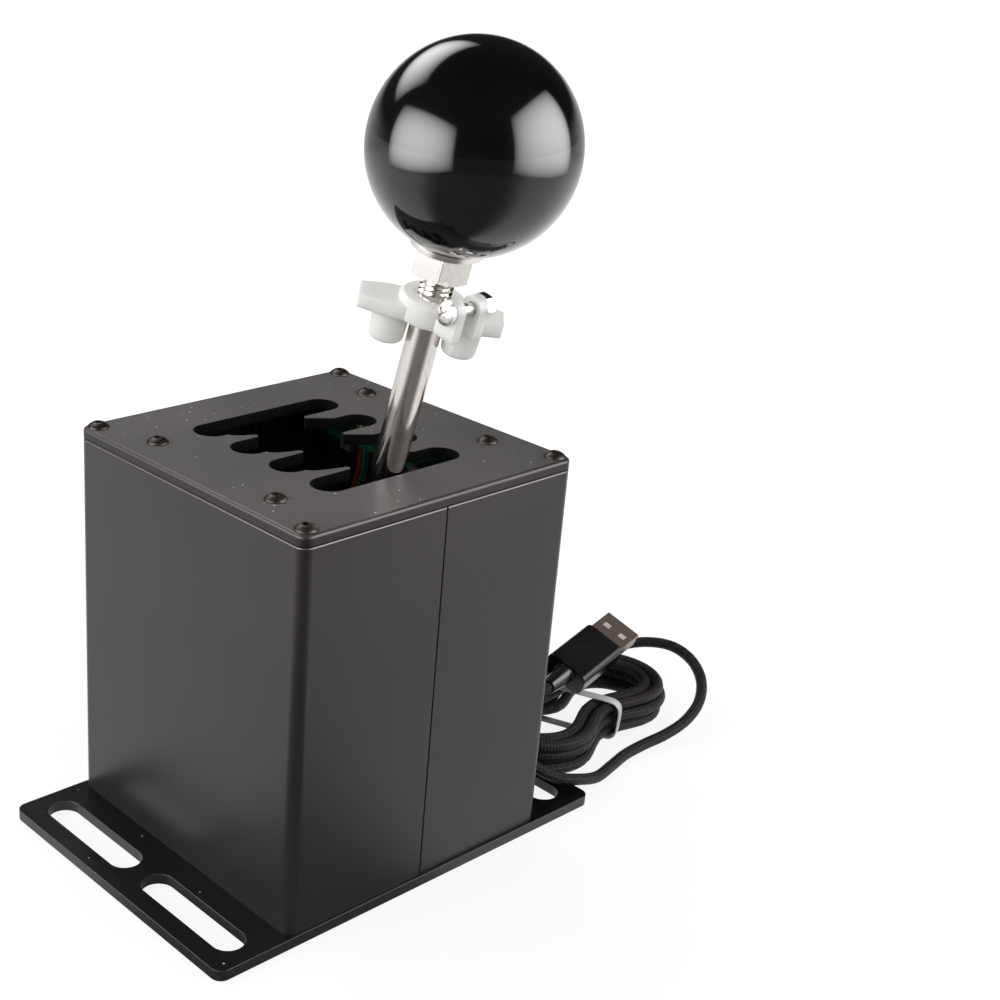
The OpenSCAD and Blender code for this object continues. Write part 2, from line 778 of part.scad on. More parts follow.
// Pan head screw through the ears, head on the driver's side
module clamp_screw() {
    head_y = ear_gap / 2 + ear_t;
    dome_r = clamp_head_r * 2.2;
    color("#d6d6d4") lever_frame()
        translate([ear_x, -head_y, clamp_base + ear_axis_h]) rotate([90, 0, 0]) difference() {
            union() {
                intersection() {
                    cylinder(r = clamp_head_r, h = clamp_head_h);
                    translate([0, 0, clamp_head_h - dome_r]) sphere(dome_r);
                }
                translate([0, 0, -2 * head_y - clamp_nut_h - 1.6])
                    cylinder(r = clamp_screw_r, h = 2 * head_y + clamp_nut_h + 1.6 + eps);
            }
            for (turn = [45, 135]) rotate([0, 0, turn])
                translate([0, 0, clamp_head_h]) cube([clamp_head_r * 1.2, 0.8, 2.4], center = true);
        }
}

module clamp_nut() {
    color("#d6d6d4") lever_frame()
        translate([ear_x, ear_gap / 2 + ear_t, clamp_base + ear_axis_h]) rotate([-90, 0, 0])
            hex_nut(clamp_nut_af, clamp_nut_h, clamp_screw_r + slip);
}

module knob_nut() {
    color("#d9d9d7") lever_frame() translate([0, 0, nut_base]) rotate([0, 0, 12])
        hex_nut(knob_nut_af, knob_nut_h, rod_r + slip);
}

module knob_washer() {
    color("#d9d9d7") lever_frame() translate([0, 0, knob_base - washer_t]) difference() {
        cylinder(d = washer_d, h = washer_t);
        translate([0, 0, -1]) cylinder(r = rod_r + 0.2, h = washer_t + 2);
    }
}

// Ball knob with a flat underside and a seat for its threaded insert
module knob() {
    color("#0d0d0f") lever_frame() translate([0, 0, lever_l]) difference() {
        sphere(d = knob_d, $fn = 96);
        translate([0, 0, -knob_d - knob_flat]) cylinder(r = knob_d, h = knob_d);
        translate([0, 0, -knob_flat - 1]) cylinder(r = insert_r + slip, h = insert_l + 1);
    }
}

module knob_insert() {
    color("#b89a5a") lever_frame() translate([0, 0, knob_base]) difference() {
        cylinder(r = insert_r, h = insert_l - slip);
        translate([0, 0, -1]) cylinder(r = rod_r + slip, h = insert_l - 2);
    }
}

// Sensor board under one row of slots, hung from the gate plate
module sensor_board(side) {
    color("#1f6b3a") translate([0, side * sensor_y, sensor_board_z]) difference() {
        translate([-sensor_board_w / 2, -sensor_board_d / 2, 0])
            cube([sensor_board_w, sensor_board_d, board_t]);
        for (x = [-1, 1]) translate([x * sensor_x, 0, -1]) cylinder(r = m3_r + 0.1, h = board_t + 2);
    }
}

module rear_sensor_board() {
    sensor_board(-1);
}

module front_sensor_board() {
    sensor_board(1);
}

module board_spacers() {
    color("#b89a5a") at_corners(sensor_x, sensor_y) translate([0, 0, sensor_board_z + board_t]) difference() {
        cylinder(r = spacer_r, h = spacer_l);
        translate([0, 0, -1]) cylinder(r = m3_r + 0.1, h = spacer_l + 2);
    }
}

// Four contactless sensors on one board, each facing the end of its column
module hall_sensors(side) {
    board_edge = sensor_y - sensor_board_d / 2;
    leg_z = sensor_board_z + board_t;
    color("#111113") for (x = columns * hall_scale) rotate([0, 0, side > 0 ? 0 : 180])
        translate([x, board_edge - hall_gap - hall_t, 0]) {
            translate([-hall_w / 2, 0, leg_z - hall_h + hall_leg]) cube([hall_w, hall_t, hall_h]);
            for (k = [-1, 0, 1])
                translate([k * hall_leg_pitch - hall_leg / 2, hall_t - eps, leg_z])
                    cube([hall_leg, hall_gap + hall_leg_run, hall_leg]);
        }
}

module rear_hall_sensors() {
    hall_sensors(-1);
}

module front_hall_sensors() {
    hall_sensors(1);
}

module at_controller() {
    translate([controller_x, controller_y, 0]) children();
}

module controller_board() {
    color("#1f6b3a") at_controller() difference() {
        translate([-controller_w / 2, -controller_l / 2, controller_z])
            cube([controller_w, controller_l, board_t]);
        at_corners(controller_w / 2 - post_inset, controller_l / 2 - post_inset)
            translate([0, 0, controller_z - 1]) cylinder(r = post_r * 0.5 + slip, h = board_t + 2);
    }
}

// Controller chip and the socket for the lead
module controller_parts() {
    top = controller_z + board_t;
    color("#161618") at_controller() {
        translate([-chip_w / 2, -chip_w / 2, top]) cube([chip_w, chip_w, chip_h]);
        translate([-socket_w / 2, controller_l / 2 - socket_d, top]) cube([socket_w, socket_d, socket_h]);
    }
}

module controller_posts() {
    color("#e6e2d6") at_controller()
        at_corners(controller_w / 2 - post_inset, controller_l / 2 - post_inset) {
            translate([0, 0, base_t]) cylinder(r = post_r, h = post_h);
            translate([0, 0, base_t]) cylinder(r = post_r * 0.5, h = post_h + board_t + 1);
        }
}

// Full route of one sensor wire, ending upright on both boards
function wire_points(route, side) =
    let (
        low = controller_z + board_t,
        high = sensor_board_z,
        n = len(route) - 1,
        y = side * (sensor_y - sensor_board_d / 2 + wire_edge)
    )
    concat(
        [[wire_start_x, y, high], [wire_start_x, y, high - wire_start_drop]],
        [for (p = route) [p[0], p[1], low + (high - low) * p[2]]],
        [[route[n][0], route[n][1], low]]
    );

// Three sensor wires side by side
module harness(points, ink) {
    for (k = [-1, 0, 1])
        color(ink[k + 1]) translate([k * wire_pitch, 0, 0])
            tube(smooth(points, 2), wire_r, wire_sides, [1, 0, 0], [0, 0, -1], [0, 0, -1]);
}

module rear_harness() {
    harness(wire_points(concat(
        [for (p = rear_wire_route) p - [half_w, half_w, 0]],
        [for (p = rear_wire_end) p + [-half_w, controller_y, 0]]
    ), -1), ["#b02020", "#1d7a45", "#202022"]);
}

module front_harness() {
    harness(wire_points(
        [for (p = front_wire_route) p + [-half_w, half_w, 0]], 1
    ), ["#b02020", "#1d7a45", "#202022"]);
}

// Height of the hank's lowest layer: it leans from the flange's edge down to the floor
function hank_base(y) = cord_r + hank_floor + hank_slope * (hank_far - y);

// Radius of the spiral, out and in again layer by layer; it reverses halfway along a run
function hank_radius(turn) =
    let (
        t = turn - run_share / 2,
        layer = min(max(floor(t / loops_per_layer), 0), hank_layers - 1),
        u = t / loops_per_layer - layer
    )
    hank_outer_r - 2 * hank_step * (layer % 2 == 0 ? 1 - u : u);

// Layer number, counted down from the top, with each step taken along a run
function hank_level(t) =
    let (
        layer = min(floor(t / loops_per_layer), hank_layers - 1),
        u = (t - layer * loops_per_layer) / run_share,
        s = min(max(u, 0), 1)
    )
    hank_layers - 1 - (layer == 0 ? 0 : layer - 1 + s * s * (3 - 2 * s));

// Point of the hank after t turns: runs along Y drawn in at the waist, round folds at both ends
function hank_point(t) =
    let (
        r = hank_radius(t),
        s = t - floor(t),
        back = s >= 0.5,
        w = back ? s - 0.5 : s,
        on_run = w <= run_share,
        q = on_run ? w / run_share : (w - run_share) / (0.5 - run_share),
        x0 = on_run ? -(r - hank_waist * pow(sin(180 * q), 2)) : -r * cos(180 * q),
        y0 = on_run ? hank_run * (2 * q - 1) : hank_run + r * sin(180 * q),
        x1 = back ? -x0 : x0,
        y1 = back ? -y0 : y0,
        x = hank_x + x1 * cos(hank_yaw) - y1 * sin(hank_yaw),
        y = hank_y + x1 * sin(hank_yaw) + y1 * cos(hank_yaw)
    )
    [x, y, hank_base(y) + hank_layer_h * hank_level(t)];

hank_count = round((hank_turns + run_share) * hank_rings);
hank_points = [for (i = [0:hank_count]) hank_point(i / hank_rings)];

// Both ends of the hank point along the runs
hank_end_dir = unit([-sin(hank_yaw), cos(hank_yaw), -hank_slope]);
exit_x = hank_points[0][0] + exit_shift;
relief_end_y = half_w + relief_l;
cord_points = [for (p = cord_route) [
    exit_x - exit_shift * p[1],
    relief_end_y + (hank_points[0][1] - relief_end_y) * p[0],
    exit_z + (hank_points[0][2] - exit_z) * p[2]
]];
tail_points = concat([hank_points[hank_count]], [for (p = tail_route) p + [0, half_w, 0]]);

// Least gap of the hank to itself, measured between points along its chords
function chord_points(p, n) = [for (i = [0:len(p) - 2], k = [0:n - 1]) p[i] + (p[i + 1] - p[i]) * k / n];
hank_fine = chord_points(hank_points, 3);
hank_gap = min([for (i = [0:len(hank_fine) - 1], j = [i + hank_rings:1:len(hank_fine) - 1])
    norm(hank_fine[i] - hank_fine[j])]) - cord_d;
hank_length = [for (i = [0:len(hank_points) - 2]) norm(hank_points[i + 1] - hank_points[i])]
    * [for (i = [0:len(hank_points) - 2]) 1];
echo(hank_gap = hank_gap, hank_length = hank_length);

// Tapered strain relief with a flange outside the wall and a neck through it
module strain_relief() {
    color("#151517") translate([exit_x, 0, exit_z]) rotate([-90, 0, 0]) difference() {
        union() {
            translate([0, 0, inner_w - relief_neck])
                cylinder(r = relief_hole_r, h = wall_t + relief_neck + eps);
            translate([0, 0, half_w]) cylinder(r = relief_flange_r, h = relief_flange_t);
            translate([0, 0, half_w + relief_flange_t - eps])
                cylinder(r1 = relief_hole_r + 0.6, r2 = cord_r + 0.5, h = relief_l - relief_flange_t + eps);
        }
        for (k = [0:3]) translate([0, 0, half_w + relief_flange_t + 1.6 + 2 * k]) relief_notch();
    }
}

// Flexing notch round the strain relief
module relief_notch() {
    difference() {
        cylinder(r = relief_flange_r, h = 0.8);
        translate([0, 0, -1]) cylinder(r = cord_r + 0.2, h = 3);
    }
}

// The lead's way from the strain relief to the socket on the controller
socket_z = controller_z + board_t + socket_h / 2;
inner_points = concat(
    [[exit_x, inner_w - relief_neck, exit_z]],
    [for (p = inner_route) [
        exit_x + (controller_x - exit_x) * p[0],
        half_w + p[1],
        exit_z + (socket_z - exit_z) * p[2]
    ]],
    [[controller_x, half_w + inner_run_y, socket_z], [controller_x, controller_y + controller_l / 2, socket_z]]
);

module inner_lead() {
    color("#202022")
        tube(smooth(inner_points, 2), inner_lead_r, cord_sides, [0, 0, 1], [0, -1, 0], [0, -1, 0]);
}

// Lead from the strain relief to the hank
module usb_cord() {
    color("#1b1a1a") tube(cord_points, cord_r, cord_sides, [0, 0, 1], [0, 1, 0], hank_end_dir);
}

module cord_hank() {
    color("#1b1a1a") tube(hank_points, cord_r, hank_sides, [0, 0, 1], hank_end_dir, hank_end_dir);
}

// Loose end of the lead, from the hank to the plug
module cord_tail() {
    plug_dir = [-sin(plug_yaw) * cos(plug_pitch), cos(plug_yaw) * cos(plug_pitch), sin(plug_pitch)];
    color("#1b1a1a") tube(tail_points, cord_r, cord_sides, [0, 0, 1], hank_end_dir, plug_dir);
}

// Flat tie round the hank's waist
module cord_tie() {
    low = hank_base(hank_y) - cord_r - tie_gap;
    high = hank_base(hank_y) + hank_layer_h * (hank_layers - 1) + cord_r + tie_gap;
    wide = hank_outer_r - hank_waist + cord_r + tie_gap + tie_slack;
    color("#b9b7bd") translate([hank_x, hank_y, (low + high) / 2]) rotate([90, 0, tie_yaw])
        linear_extrude(tie_w, center = true) difference() {
            tie_outline(2 * (wide + tie_t), high - low + 2 * tie_t, tie_corner_r + tie_t);
            tie_outline(2 * wide, high - low, tie_corner_r);
        }
}

module tie_outline(w, h, r) {
    square([w - 2 * r, h], center = true);
    square([w, h - 2 * r], center = true);
    for (x = [-1, 1], y = [-1, 1]) translate([x * (w / 2 - r), y * (h / 2 - r)]) circle(r);
}

// Turns children from the plug's own frame, +Y along its length, to where it lies on the hank
module plug_frame() {
    translate(tail_points[len(tail_points) - 1])
        rotate([0, 0, plug_yaw]) rotate([plug_pitch, 0, 0]) rotate([0, plug_roll, 0]) children();
}

// Overmould of the plug with its tapered neck
module plug_body() {
    r = 2;
    color("#0f0f11") plug_frame() {
        rotate([-90, 0, 0]) cylinder(r1 = cord_r + 0.6, r2 = cord_r + 1.6, h = plug_taper_l + eps);
        translate([0, plug_taper_l, 0]) rotate([-90, 0, 0])
            linear_extrude(plug_body_l) tie_outline(plug_body_w, plug_body_h, r);
    }
}

// Metal shell of the plug, open at its tip round the contact tongue
module plug_shell() {
    color("#9b938c") plug_frame() translate([0, plug_taper_l + plug_body_l, 0]) difference() {
        translate([-plug_shell_w / 2, 0, -plug_shell_h / 2]) cube([plug_shell_w, plug_shell_l, plug_shell_h]);
        translate([-plug_shell_w / 2 + plug_shell_t, 1, -plug_shell_h / 2 + plug_shell_t + plug_tongue_t])
            cube([
                plug_shell_w - 2 * plug_shell_t,
                plug_shell_l,
                plug_shell_h - 2 * plug_shell_t - plug_tongue_t
            ]);
        for (x = [-1, 1]) translate([x * plug_hole_x - plug_hole / 2, plug_hole_y, plug_shell_h / 2 - 1])
            cube([plug_hole, plug_hole, 2]);
    }
}

base_plate();
rear_shell();
front_shell();
gate_plate();
gate_corner_screws();
gate_sensor_screws();
base_screws();
pivot_bracket_rear();
pivot_bracket_front();
bracket_screws();
pivot_bushes();
cradle();
trunnion_clips();
shift_pin();
pin_clips();
friction_washers();
lever_foot();
foot_lock_nut();
lever_rod();
magnet_sleeve();
ring_magnet();
lever_clamp();
clamp_screw();
clamp_nut();
knob_nut();
knob_washer();
knob();
knob_insert();
rear_sensor_board();
front_sensor_board();
board_spacers();
rear_hall_sensors();
front_hall_sensors();
controller_board();
controller_parts();
controller_posts();
rear_harness();
front_harness();
strain_relief();
inner_lead();
usb_cord();
cord_hank();
cord_tail();
cord_tie();
plug_body();
plug_shell();
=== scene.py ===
"""Looks of a gated gear shifter for sim racing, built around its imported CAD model.

Every piece is in metres, in the CAD model's own frame: Z up, X across the gate, Y along the columns.
"""

import math

import bmesh
import bpy
from bpy.props import FloatProperty, FloatVectorProperty, IntProperty, PointerProperty
from mathutils import Matrix, Vector


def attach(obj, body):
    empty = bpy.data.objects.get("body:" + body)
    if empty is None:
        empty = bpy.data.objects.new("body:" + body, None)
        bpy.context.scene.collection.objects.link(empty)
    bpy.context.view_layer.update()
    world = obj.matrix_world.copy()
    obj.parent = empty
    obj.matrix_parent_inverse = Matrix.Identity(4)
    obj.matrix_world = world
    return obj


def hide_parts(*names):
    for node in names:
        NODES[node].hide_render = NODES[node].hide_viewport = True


bl_info = {
    "name": "Gated Gear Shifter",
    "version": (1, 0, 0),
    "blender": (4, 5, 0),
    "location": "View3D > Sidebar > Shifter",
    "description": "Dresses the CAD model of a sim racing gear shifter",
    "category": "Object",
}

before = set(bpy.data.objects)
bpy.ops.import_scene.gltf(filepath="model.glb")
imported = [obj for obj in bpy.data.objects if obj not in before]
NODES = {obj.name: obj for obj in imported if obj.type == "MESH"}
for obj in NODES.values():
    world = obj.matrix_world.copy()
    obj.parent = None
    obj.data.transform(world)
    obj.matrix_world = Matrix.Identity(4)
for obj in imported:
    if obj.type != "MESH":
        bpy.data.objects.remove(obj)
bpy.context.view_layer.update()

MM = 0.001

# Lever values, as in the CAD source: heights are measured along the rod from the pivot
PIVOT = Vector((0.0, 0.0, 17 * MM))
PLATE_MID = 91.5 * MM
COLUMN_X = 23.25 * MM
LEAN = math.atan(COLUMN_X / PLATE_MID)
LEVER_MATRIX = Matrix.Translation(PIVOT) @ Matrix.Rotation(LEAN, 4, "Y")
ROD_FROM = 6.05 * MM
THREAD_FROM = 143.7 * MM
ROD_TO = 172.5 * MM
KNOB_BASE = 157.6 * MM
KNOB_MID = 180 * MM

# Housing values, as in the CAD source
HALF_W = 45 * MM
CORNER_R = 3 * MM
SHELL_TOP = 107 * MM
PLATE_TOP = 110 * MM

# Finish values: the shells' top edge, the gate plate's lower edge, whose rounding carries painted shade for
# the gap, the least way from its outline to a slot, dust on the plates, and the tint of reflections in
# anodised black
SHELL_RIM = 0.4 * MM
PLATE_UNDER_RIM = 0.35 * MM
SLOT_INSET = 1.2 * MM
DUST_COLOR = (0.55, 0.53, 0.51)
ANODISED_TINT = (1.0, 0.9, 0.92, 1.0)

# Camera of the photograph: place, axes, focal length in pixels and principal point
CAMERA_AT = Vector((0.29990, -0.26779, 0.25444))
CAMERA_RIGHT = Vector((0.65155, 0.75743, 0.04225))
CAMERA_UP = Vector((-0.32366, 0.22718, 0.91849))
CAMERA_BACK = Vector((0.68609, -0.61212, 0.39317))
FOCAL_PX = 1666.865
PRINCIPAL_PX = (319.708, 540.377)
IMAGE_PX = 1000.0
SENSOR_MM = 36.0

# Stage values: the level way from the camera past the object, the floor, and the light that isn't mirrored
BEHIND = (-0.7462, 0.6657, 0.0)
FLOOR_W = 12.0
FLOOR_DROP = 0.3 * MM
FLOOR_COLOR = (0.14, 0.14, 0.14)
SKY_LEVEL = 0.55

# Ramps of brightness, each as low, high, start and end: the floor by its distance, as the camera sees it, and
# as reflections see them the floor by its bearing and way behind, and the backdrop by its bearing and height
FLOOR_SEEN = (0.86, 1.0, 0.12, 0.36)
FLOOR_BEARING = (0.03, 0.85, -0.88, -0.45)
FLOOR_BEHIND = (1.0, 0.5, 0.2, 0.9)
SKY_BEARING = (0.03, 0.5, 0.1, 0.95)
SKY_HEIGHT = (1.0, 0.04, 0.02, 0.2)

# Panels of light: name, place, aim, width, height, power, and how bright reflections see their middle
PANELS = (
    ("rear panel", (-0.077, -0.485, 0.275), (0.044, 0.0, 0.275), 0.80, 0.51, 2.4, 10.0),
    ("side panel", (0.463, 0.272, 0.350), (0.044, 0.0, 0.350), 0.78, 0.64, 2.2, 9.5),
    ("top panel", (-0.414, 0.040, 0.577), (0.044, 0.0, 0.191), 0.62, 0.36, 1.5, 5.0),
)
PANEL_FADE = 0.75

# Lead values, as in the CAD source
CORD_D = 3.4 * MM
CORD_R = CORD_D / 2
HANK_AT = Vector((14 * MM, 94 * MM, 0.0))
HANK_YAW = math.radians(9)
HANK_RUN = 21 * MM
HANK_LAYERS = 3
LOOPS_PER_LAYER = 2
HANK_STEP = 4.2 * MM
HANK_LAYER_H = 3.9 * MM
HANK_OUTER_R = 18.65 * MM
HANK_WAIST = 5 * MM
HANK_FLOOR = 0.4 * MM
HANK_FAR = 135 * MM
HANK_SLOPE = 3.2 / 68
RUN_SHARE = 1 / 6
RELIEF_END = 57 * MM
EXIT_Z = 22 * MM
EXIT_SHIFT = 1.5 * MM
LEAD_ROUTE = (
    (0, 0, 0), (0.2, 0.04, 0.05), (0.42, 0.18, 0.29), (0.66, 0.44, 0.65), (0.86, 0.74, 0.92), (1, 1, 1),
)
TAIL_ROUTE_MM = (
    (-9.3, 119, 4.2), (-8.3, 127, 6), (-3.8, 135, 9.2), (3.5, 140.8, 12.5), (12.5, 143.8, 14),
    (21.5, 143, 13), (29.5, 138.5, 10.5), (35, 131, 7.5), (37.3, 122, 4.8), (37.2, 112.5, 3),
    (36.3, 103, 2.2), (36.6, 94, 2), (38.5, 85, 2), (40.5, 76.5, 2.6), (41, 68.5, 4.9), (38.8, 61.5, 6.8),
    (34.5, 56, 10), (28.5, 52.8, 14), (22.5, 53.8, 17.4), (18.2, 59, 19.3), (16.2, 66, 19.8),
    (15.5, 74, 19.6), (15, 81, 19.8),
)
PLUG_YAW = math.radians(10)
PLUG_PITCH = math.radians(6)
PLUG_ROLL = math.radians(22)

# The tape round the hank, and the height below which the plug's windows show its tongue, which glows as
# painted light
TIE_YAW = math.radians(24)
TIE_W = 3.2 * MM
TIE_T = 0.45 * MM
TIE_GAP = 0.5 * MM
TONGUE_TOP = 1.2 * MM

# CAD nodes that only get rounded edges and a finish: node, body, slot, finish, edge width in mm, segments
FIXINGS = (
    ("gate_corner_screws", "base", "dark_screw", "bronze_black_screw", 0.14, 3),
    ("gate_sensor_screws", "base", "dark_screw", "bronze_black_screw", 0.14, 3),
    ("base_screws", "base", "dark_screw", "bronze_black_screw", 0.14, 3),
    ("bracket_screws", "base", "zinc_screw", "zinc_plate", 0.14, 3),
    ("board_spacers", "base", "brass", "turned_brass", 0.12, 2),
)
GIMBAL = (
    ("pivot_bracket_rear", "base", "bracket", "milled_alloy", 0.4, 3),
    ("pivot_bracket_front", "base", "bracket", "milled_alloy", 0.4, 3),
    ("pivot_bushes", "base", "bronze", "sintered_bronze", 0.12, 2),
    ("cradle", "cradle", "bracket", "milled_alloy", 0.4, 3),
    ("shift_pin", "cradle", "zinc_screw", "zinc_plate", 0.12, 2),
    ("trunnion_clips", "cradle", "zinc_screw", "zinc_plate", 0.08, 2),
    ("pin_clips", "cradle", "zinc_screw", "zinc_plate", 0.08, 2),
    ("friction_washers", "cradle", "nylon", "milky_nylon", 0.08, 2),
    ("lever_foot", "lever", "bracket", "milled_alloy", 0.4, 3),
    ("foot_lock_nut", "lever", "zinc_screw", "zinc_plate", 0.12, 2),
)
LEVER_FITTINGS = (
    ("magnet_sleeve", "lever", "black_plastic", "black_moulding", 0.2, 3),
    ("ring_magnet", "lever", "magnet", "magnet_nickel", 0.25, 3),
    ("knob_nut", "lever", "nickel", "bright_nickel", 0.18, 3),
    ("knob_insert", "lever", "brass", "turned_brass", 0.15, 2),
)
CLAMP_FITTINGS = (
    ("clamp_screw", "lever", "nickel", "satin_nickel", 0.16, 3),
    ("clamp_nut", "lever", "nickel", "bright_nickel", 0.12, 3),
)
ELECTRONICS = (
    ("rear_sensor_board", "base", "board", "green_board", 0.1, 1),
    ("front_sensor_board", "base", "board", "green_board", 0.1, 1),
    ("controller_board", "base", "board", "green_board", 0.1, 1),
    ("rear_hall_sensors", "base", "black_plastic", "black_chip", 0.1, 2),
    ("front_hall_sensors", "base", "black_plastic", "black_chip", 0.1, 2),
    ("controller_parts", "base", "black_plastic", "black_chip", 0.1, 2),
    ("controller_posts", "base", "nylon", "milky_nylon", 0.1, 2),
)

GROUPS = {}
FINISHES = {}


# Modelling helpers


def deselect():
    if bpy.context.mode != "OBJECT":
        bpy.ops.object.mode_set(mode="OBJECT")
    bpy.ops.object.select_all(action="DESELECT")


def only(piece):
    deselect()
    piece.select_set(True)
    bpy.context.view_layer.objects.active = piece


def edit_all(piece):
    only(piece)
    bpy.ops.object.mode_set(mode="EDIT")
    bpy.ops.mesh.select_all(action="SELECT")


def object_mode():
    bpy.ops.object.mode_set(mode="OBJECT")


def apply_all(piece):
    only(piece)
    for modifier in list(piece.modifiers):
        bpy.ops.object.modifier_apply(modifier=modifier.name)


def smooth(piece, degrees=32):
    only(piece)
    bpy.ops.object.shade_smooth_by_angle(angle=math.radians(degrees))


def mend(piece):
    """Merges doubles and turns all faces outwards."""
    edit_all(piece)
    bpy.ops.mesh.remove_doubles(threshold=2e-6)
    bpy.ops.mesh.normals_make_consistent(inside=False)
    object_mode()


def round_edges(piece, width, segments=3, degrees=35, edge_slot=-1):
    bevel = piece.modifiers.new("rounded edges", "BEVEL")
    bevel.limit_method = "ANGLE"
    bevel.angle_limit = math.radians(degrees)
    bevel.width = width
    bevel.segments = segments
    bevel.miter_outer = "MITER_ARC"
    bevel.harden_normals = False
    bevel.material = edge_slot
    apply_all(piece)


def skin(shape, rings, closed=False):
    """Faces from each ring of vertices to the next, and in a closed sweep from the last to the first."""
    faces = []
    for first, second in zip(rings, rings[1:] + rings[:1] if closed else rings[1:]):
        for k in range(len(first)):
            n = (k + 1) % len(first)
            faces.append(shape.faces.new((first[k], first[n], second[n], second[k])))
    return faces


def shaped(name, shape, finish):
    """Turns a shape's faces outwards and makes it an object."""
    bmesh.ops.recalc_face_normals(shape, faces=shape.faces)
    mesh = bpy.data.meshes.new(name)
    shape.to_mesh(mesh)
    shape.free()
    mesh.materials.append(FINISHES[finish])
    piece = bpy.data.objects.new(name, mesh)
    bpy.context.scene.collection.objects.link(piece)
    return piece


def rim_distance(x, y):
    """Distance of a point outside the housing's rounded square, negative inside it."""
    qx, qy = abs(x) - HALF_W + CORNER_R, abs(y) - HALF_W + CORNER_R
    return math.hypot(max(qx, 0.0), max(qy, 0.0)) + min(max(qx, qy), 0.0) - CORNER_R


def round_rim(piece, height, width, up, finish):
    """Cuts a rounded edge round the housing's outline, at a top edge (up 1) or a lower edge (up -1)."""
    steps, corner_steps = 5, 16
    bend = [(width * (math.cos(a) - 1), width * (math.sin(a) - 1))
            for a in (math.pi / 2 * k / steps for k in range(steps + 1))]
    # Both ends of the bend run on a little, so that the cutter clears the faces that it meets
    ends = [tuple(1.6 * p - 0.6 * q for p, q in zip(*pair)) for pair in (bend[:2], bend[:-3:-1])]
    line = [ends[0], *bend[1:-1], ends[1], (ends[1][0], 1 * MM), (2 * MM, 1 * MM), (2 * MM, ends[0][1])]
    shape = bmesh.new()
    rings = []
    for corner in range(4):
        turn = Matrix.Rotation(math.pi / 2 * corner, 3, "Z")
        middle = turn @ Vector((HALF_W - CORNER_R, HALF_W - CORNER_R, 0))
        for k in range(corner_steps + 1):
            a = math.pi / 2 * (corner + k / corner_steps)
            rings.append([
                shape.verts.new(middle + Vector((
                    (CORNER_R + out) * math.cos(a), (CORNER_R + out) * math.sin(a), height + up * rise)))
                for out, rise in line
            ])
    skin(shape, rings, closed=True)
    cutter = shaped("rim cutter", shape, finish)
    cut = piece.modifiers.new("rim", "BOOLEAN")
    cut.operation = "DIFFERENCE"
    cut.solver = "EXACT"
    cut.material_mode = "TRANSFER"
    cut.object = cutter
    apply_all(piece)
    bpy.data.meshes.remove(cutter.data)


def flatten(piece):
    """Keeps large faces flat beside their rounded edges."""
    weigh = piece.modifiers.new("flat faces", "WEIGHTED_NORMAL")
    weigh.keep_sharp = True
    weigh.weight = 80
    apply_all(piece)


def cad_copy(cad_node, name):
    """A copy of a CAD node with its loose triangles joined into clean faces."""
    piece = NODES[cad_node].copy()
    piece.data = NODES[cad_node].data.copy()
    piece.name = name
    piece.data.name = name
    bpy.context.scene.collection.objects.link(piece)
    piece.parent = None
    piece.matrix_world = Matrix.Identity(4)
    only(piece)
    bpy.ops.mesh.customdata_custom_splitnormals_clear()
    edit_all(piece)
    bpy.ops.mesh.remove_doubles(threshold=2e-6)
    bpy.ops.mesh.dissolve_limited(angle_limit=math.radians(0.6), delimit=set())
    object_mode()
    piece.data.materials.clear()
    return piece


def place(piece, body, slot, *nodes):
    """Hands a finished piece to the frame: its body and the CAD nodes it stands for; slot, its finish, is not
    used.
    """
    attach(piece, body)
    if nodes:
        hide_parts(*nodes)


def dressed_copy(cad_node, body, slot, finishes, width, segments=3, degrees=35, name=None, rims=(),
                 edge_slot=None):
    """A CAD node's copy with rounded edges, standing for it; a second finish goes on the roundings."""
    piece = cad_copy(cad_node, name or cad_node + "_dressed")
    for finish in finishes:
        piece.data.materials.append(FINISHES[finish])
    for rim in rims:
        round_rim(piece, *rim)
    if edge_slot is None:
        edge_slot = 1 if len(finishes) > 1 else -1
    round_edges(piece, width, segments, degrees, edge_slot)
    smooth(piece)
    flatten(piece)
    place(piece, body, slot, cad_node)
    return piece


def dress(rows):
    """Dresses the nodes of a table, which need no more than rounded edges and a finish."""
    for cad_node, body, slot, finish, width_mm, segments in rows:
        dressed_copy(cad_node, body, slot, (finish,), width_mm * MM, segments)


def profile(name, points):
    """An open outline in the XZ plane, drawn by extruding one vertex from point to point."""
    deselect()
    bpy.ops.mesh.primitive_plane_add(size=1 * MM)
    piece = bpy.context.object
    piece.name = name
    bpy.ops.object.mode_set(mode="EDIT")
    bpy.ops.mesh.select_all(action="SELECT")
    bpy.ops.mesh.merge(type="CENTER")
    last = Vector((0.0, 0.0, 0.0))
    for step, (x, z) in enumerate(points):
        here = Vector((x, 0.0, z))
        if step == 0:
            bpy.ops.transform.translate(value=here - last)
        else:
            bpy.ops.mesh.extrude_region_move(TRANSFORM_OT_translate={"value": here - last})
        last = here
    object_mode()
    return piece


def turned(name, points, steps=64, matrix=None):
    """A solid of revolution about Z, turned from an outline whose ends lie on the axis."""
    piece = profile(name, points)
    lathe = piece.modifiers.new("lathe", "SCREW")
    lathe.axis = "Z"
    lathe.steps = steps
    lathe.render_steps = steps
    lathe.use_merge_vertices = True
    lathe.merge_threshold = 2e-6
    apply_all(piece)
    mend(piece)
    if matrix is not None:
        piece.data.transform(matrix)
    return piece


def arc(cx, cz, r, first, last, count):
    """Points of an arc in the XZ plane, angles in degrees from +X towards +Z."""
    out = []
    for k in range(count + 1):
        a = math.radians(first + (last - first) * k / count)
        out.append((cx + r * math.cos(a), cz + r * math.sin(a)))
    return out


def join(pieces, name):
    deselect()
    for piece in pieces:
        piece.select_set(True)
    bpy.context.view_layer.objects.active = pieces[0]
    bpy.ops.object.join()
    pieces[0].name = name
    pieces[0].data.name = name
    return pieces[0]


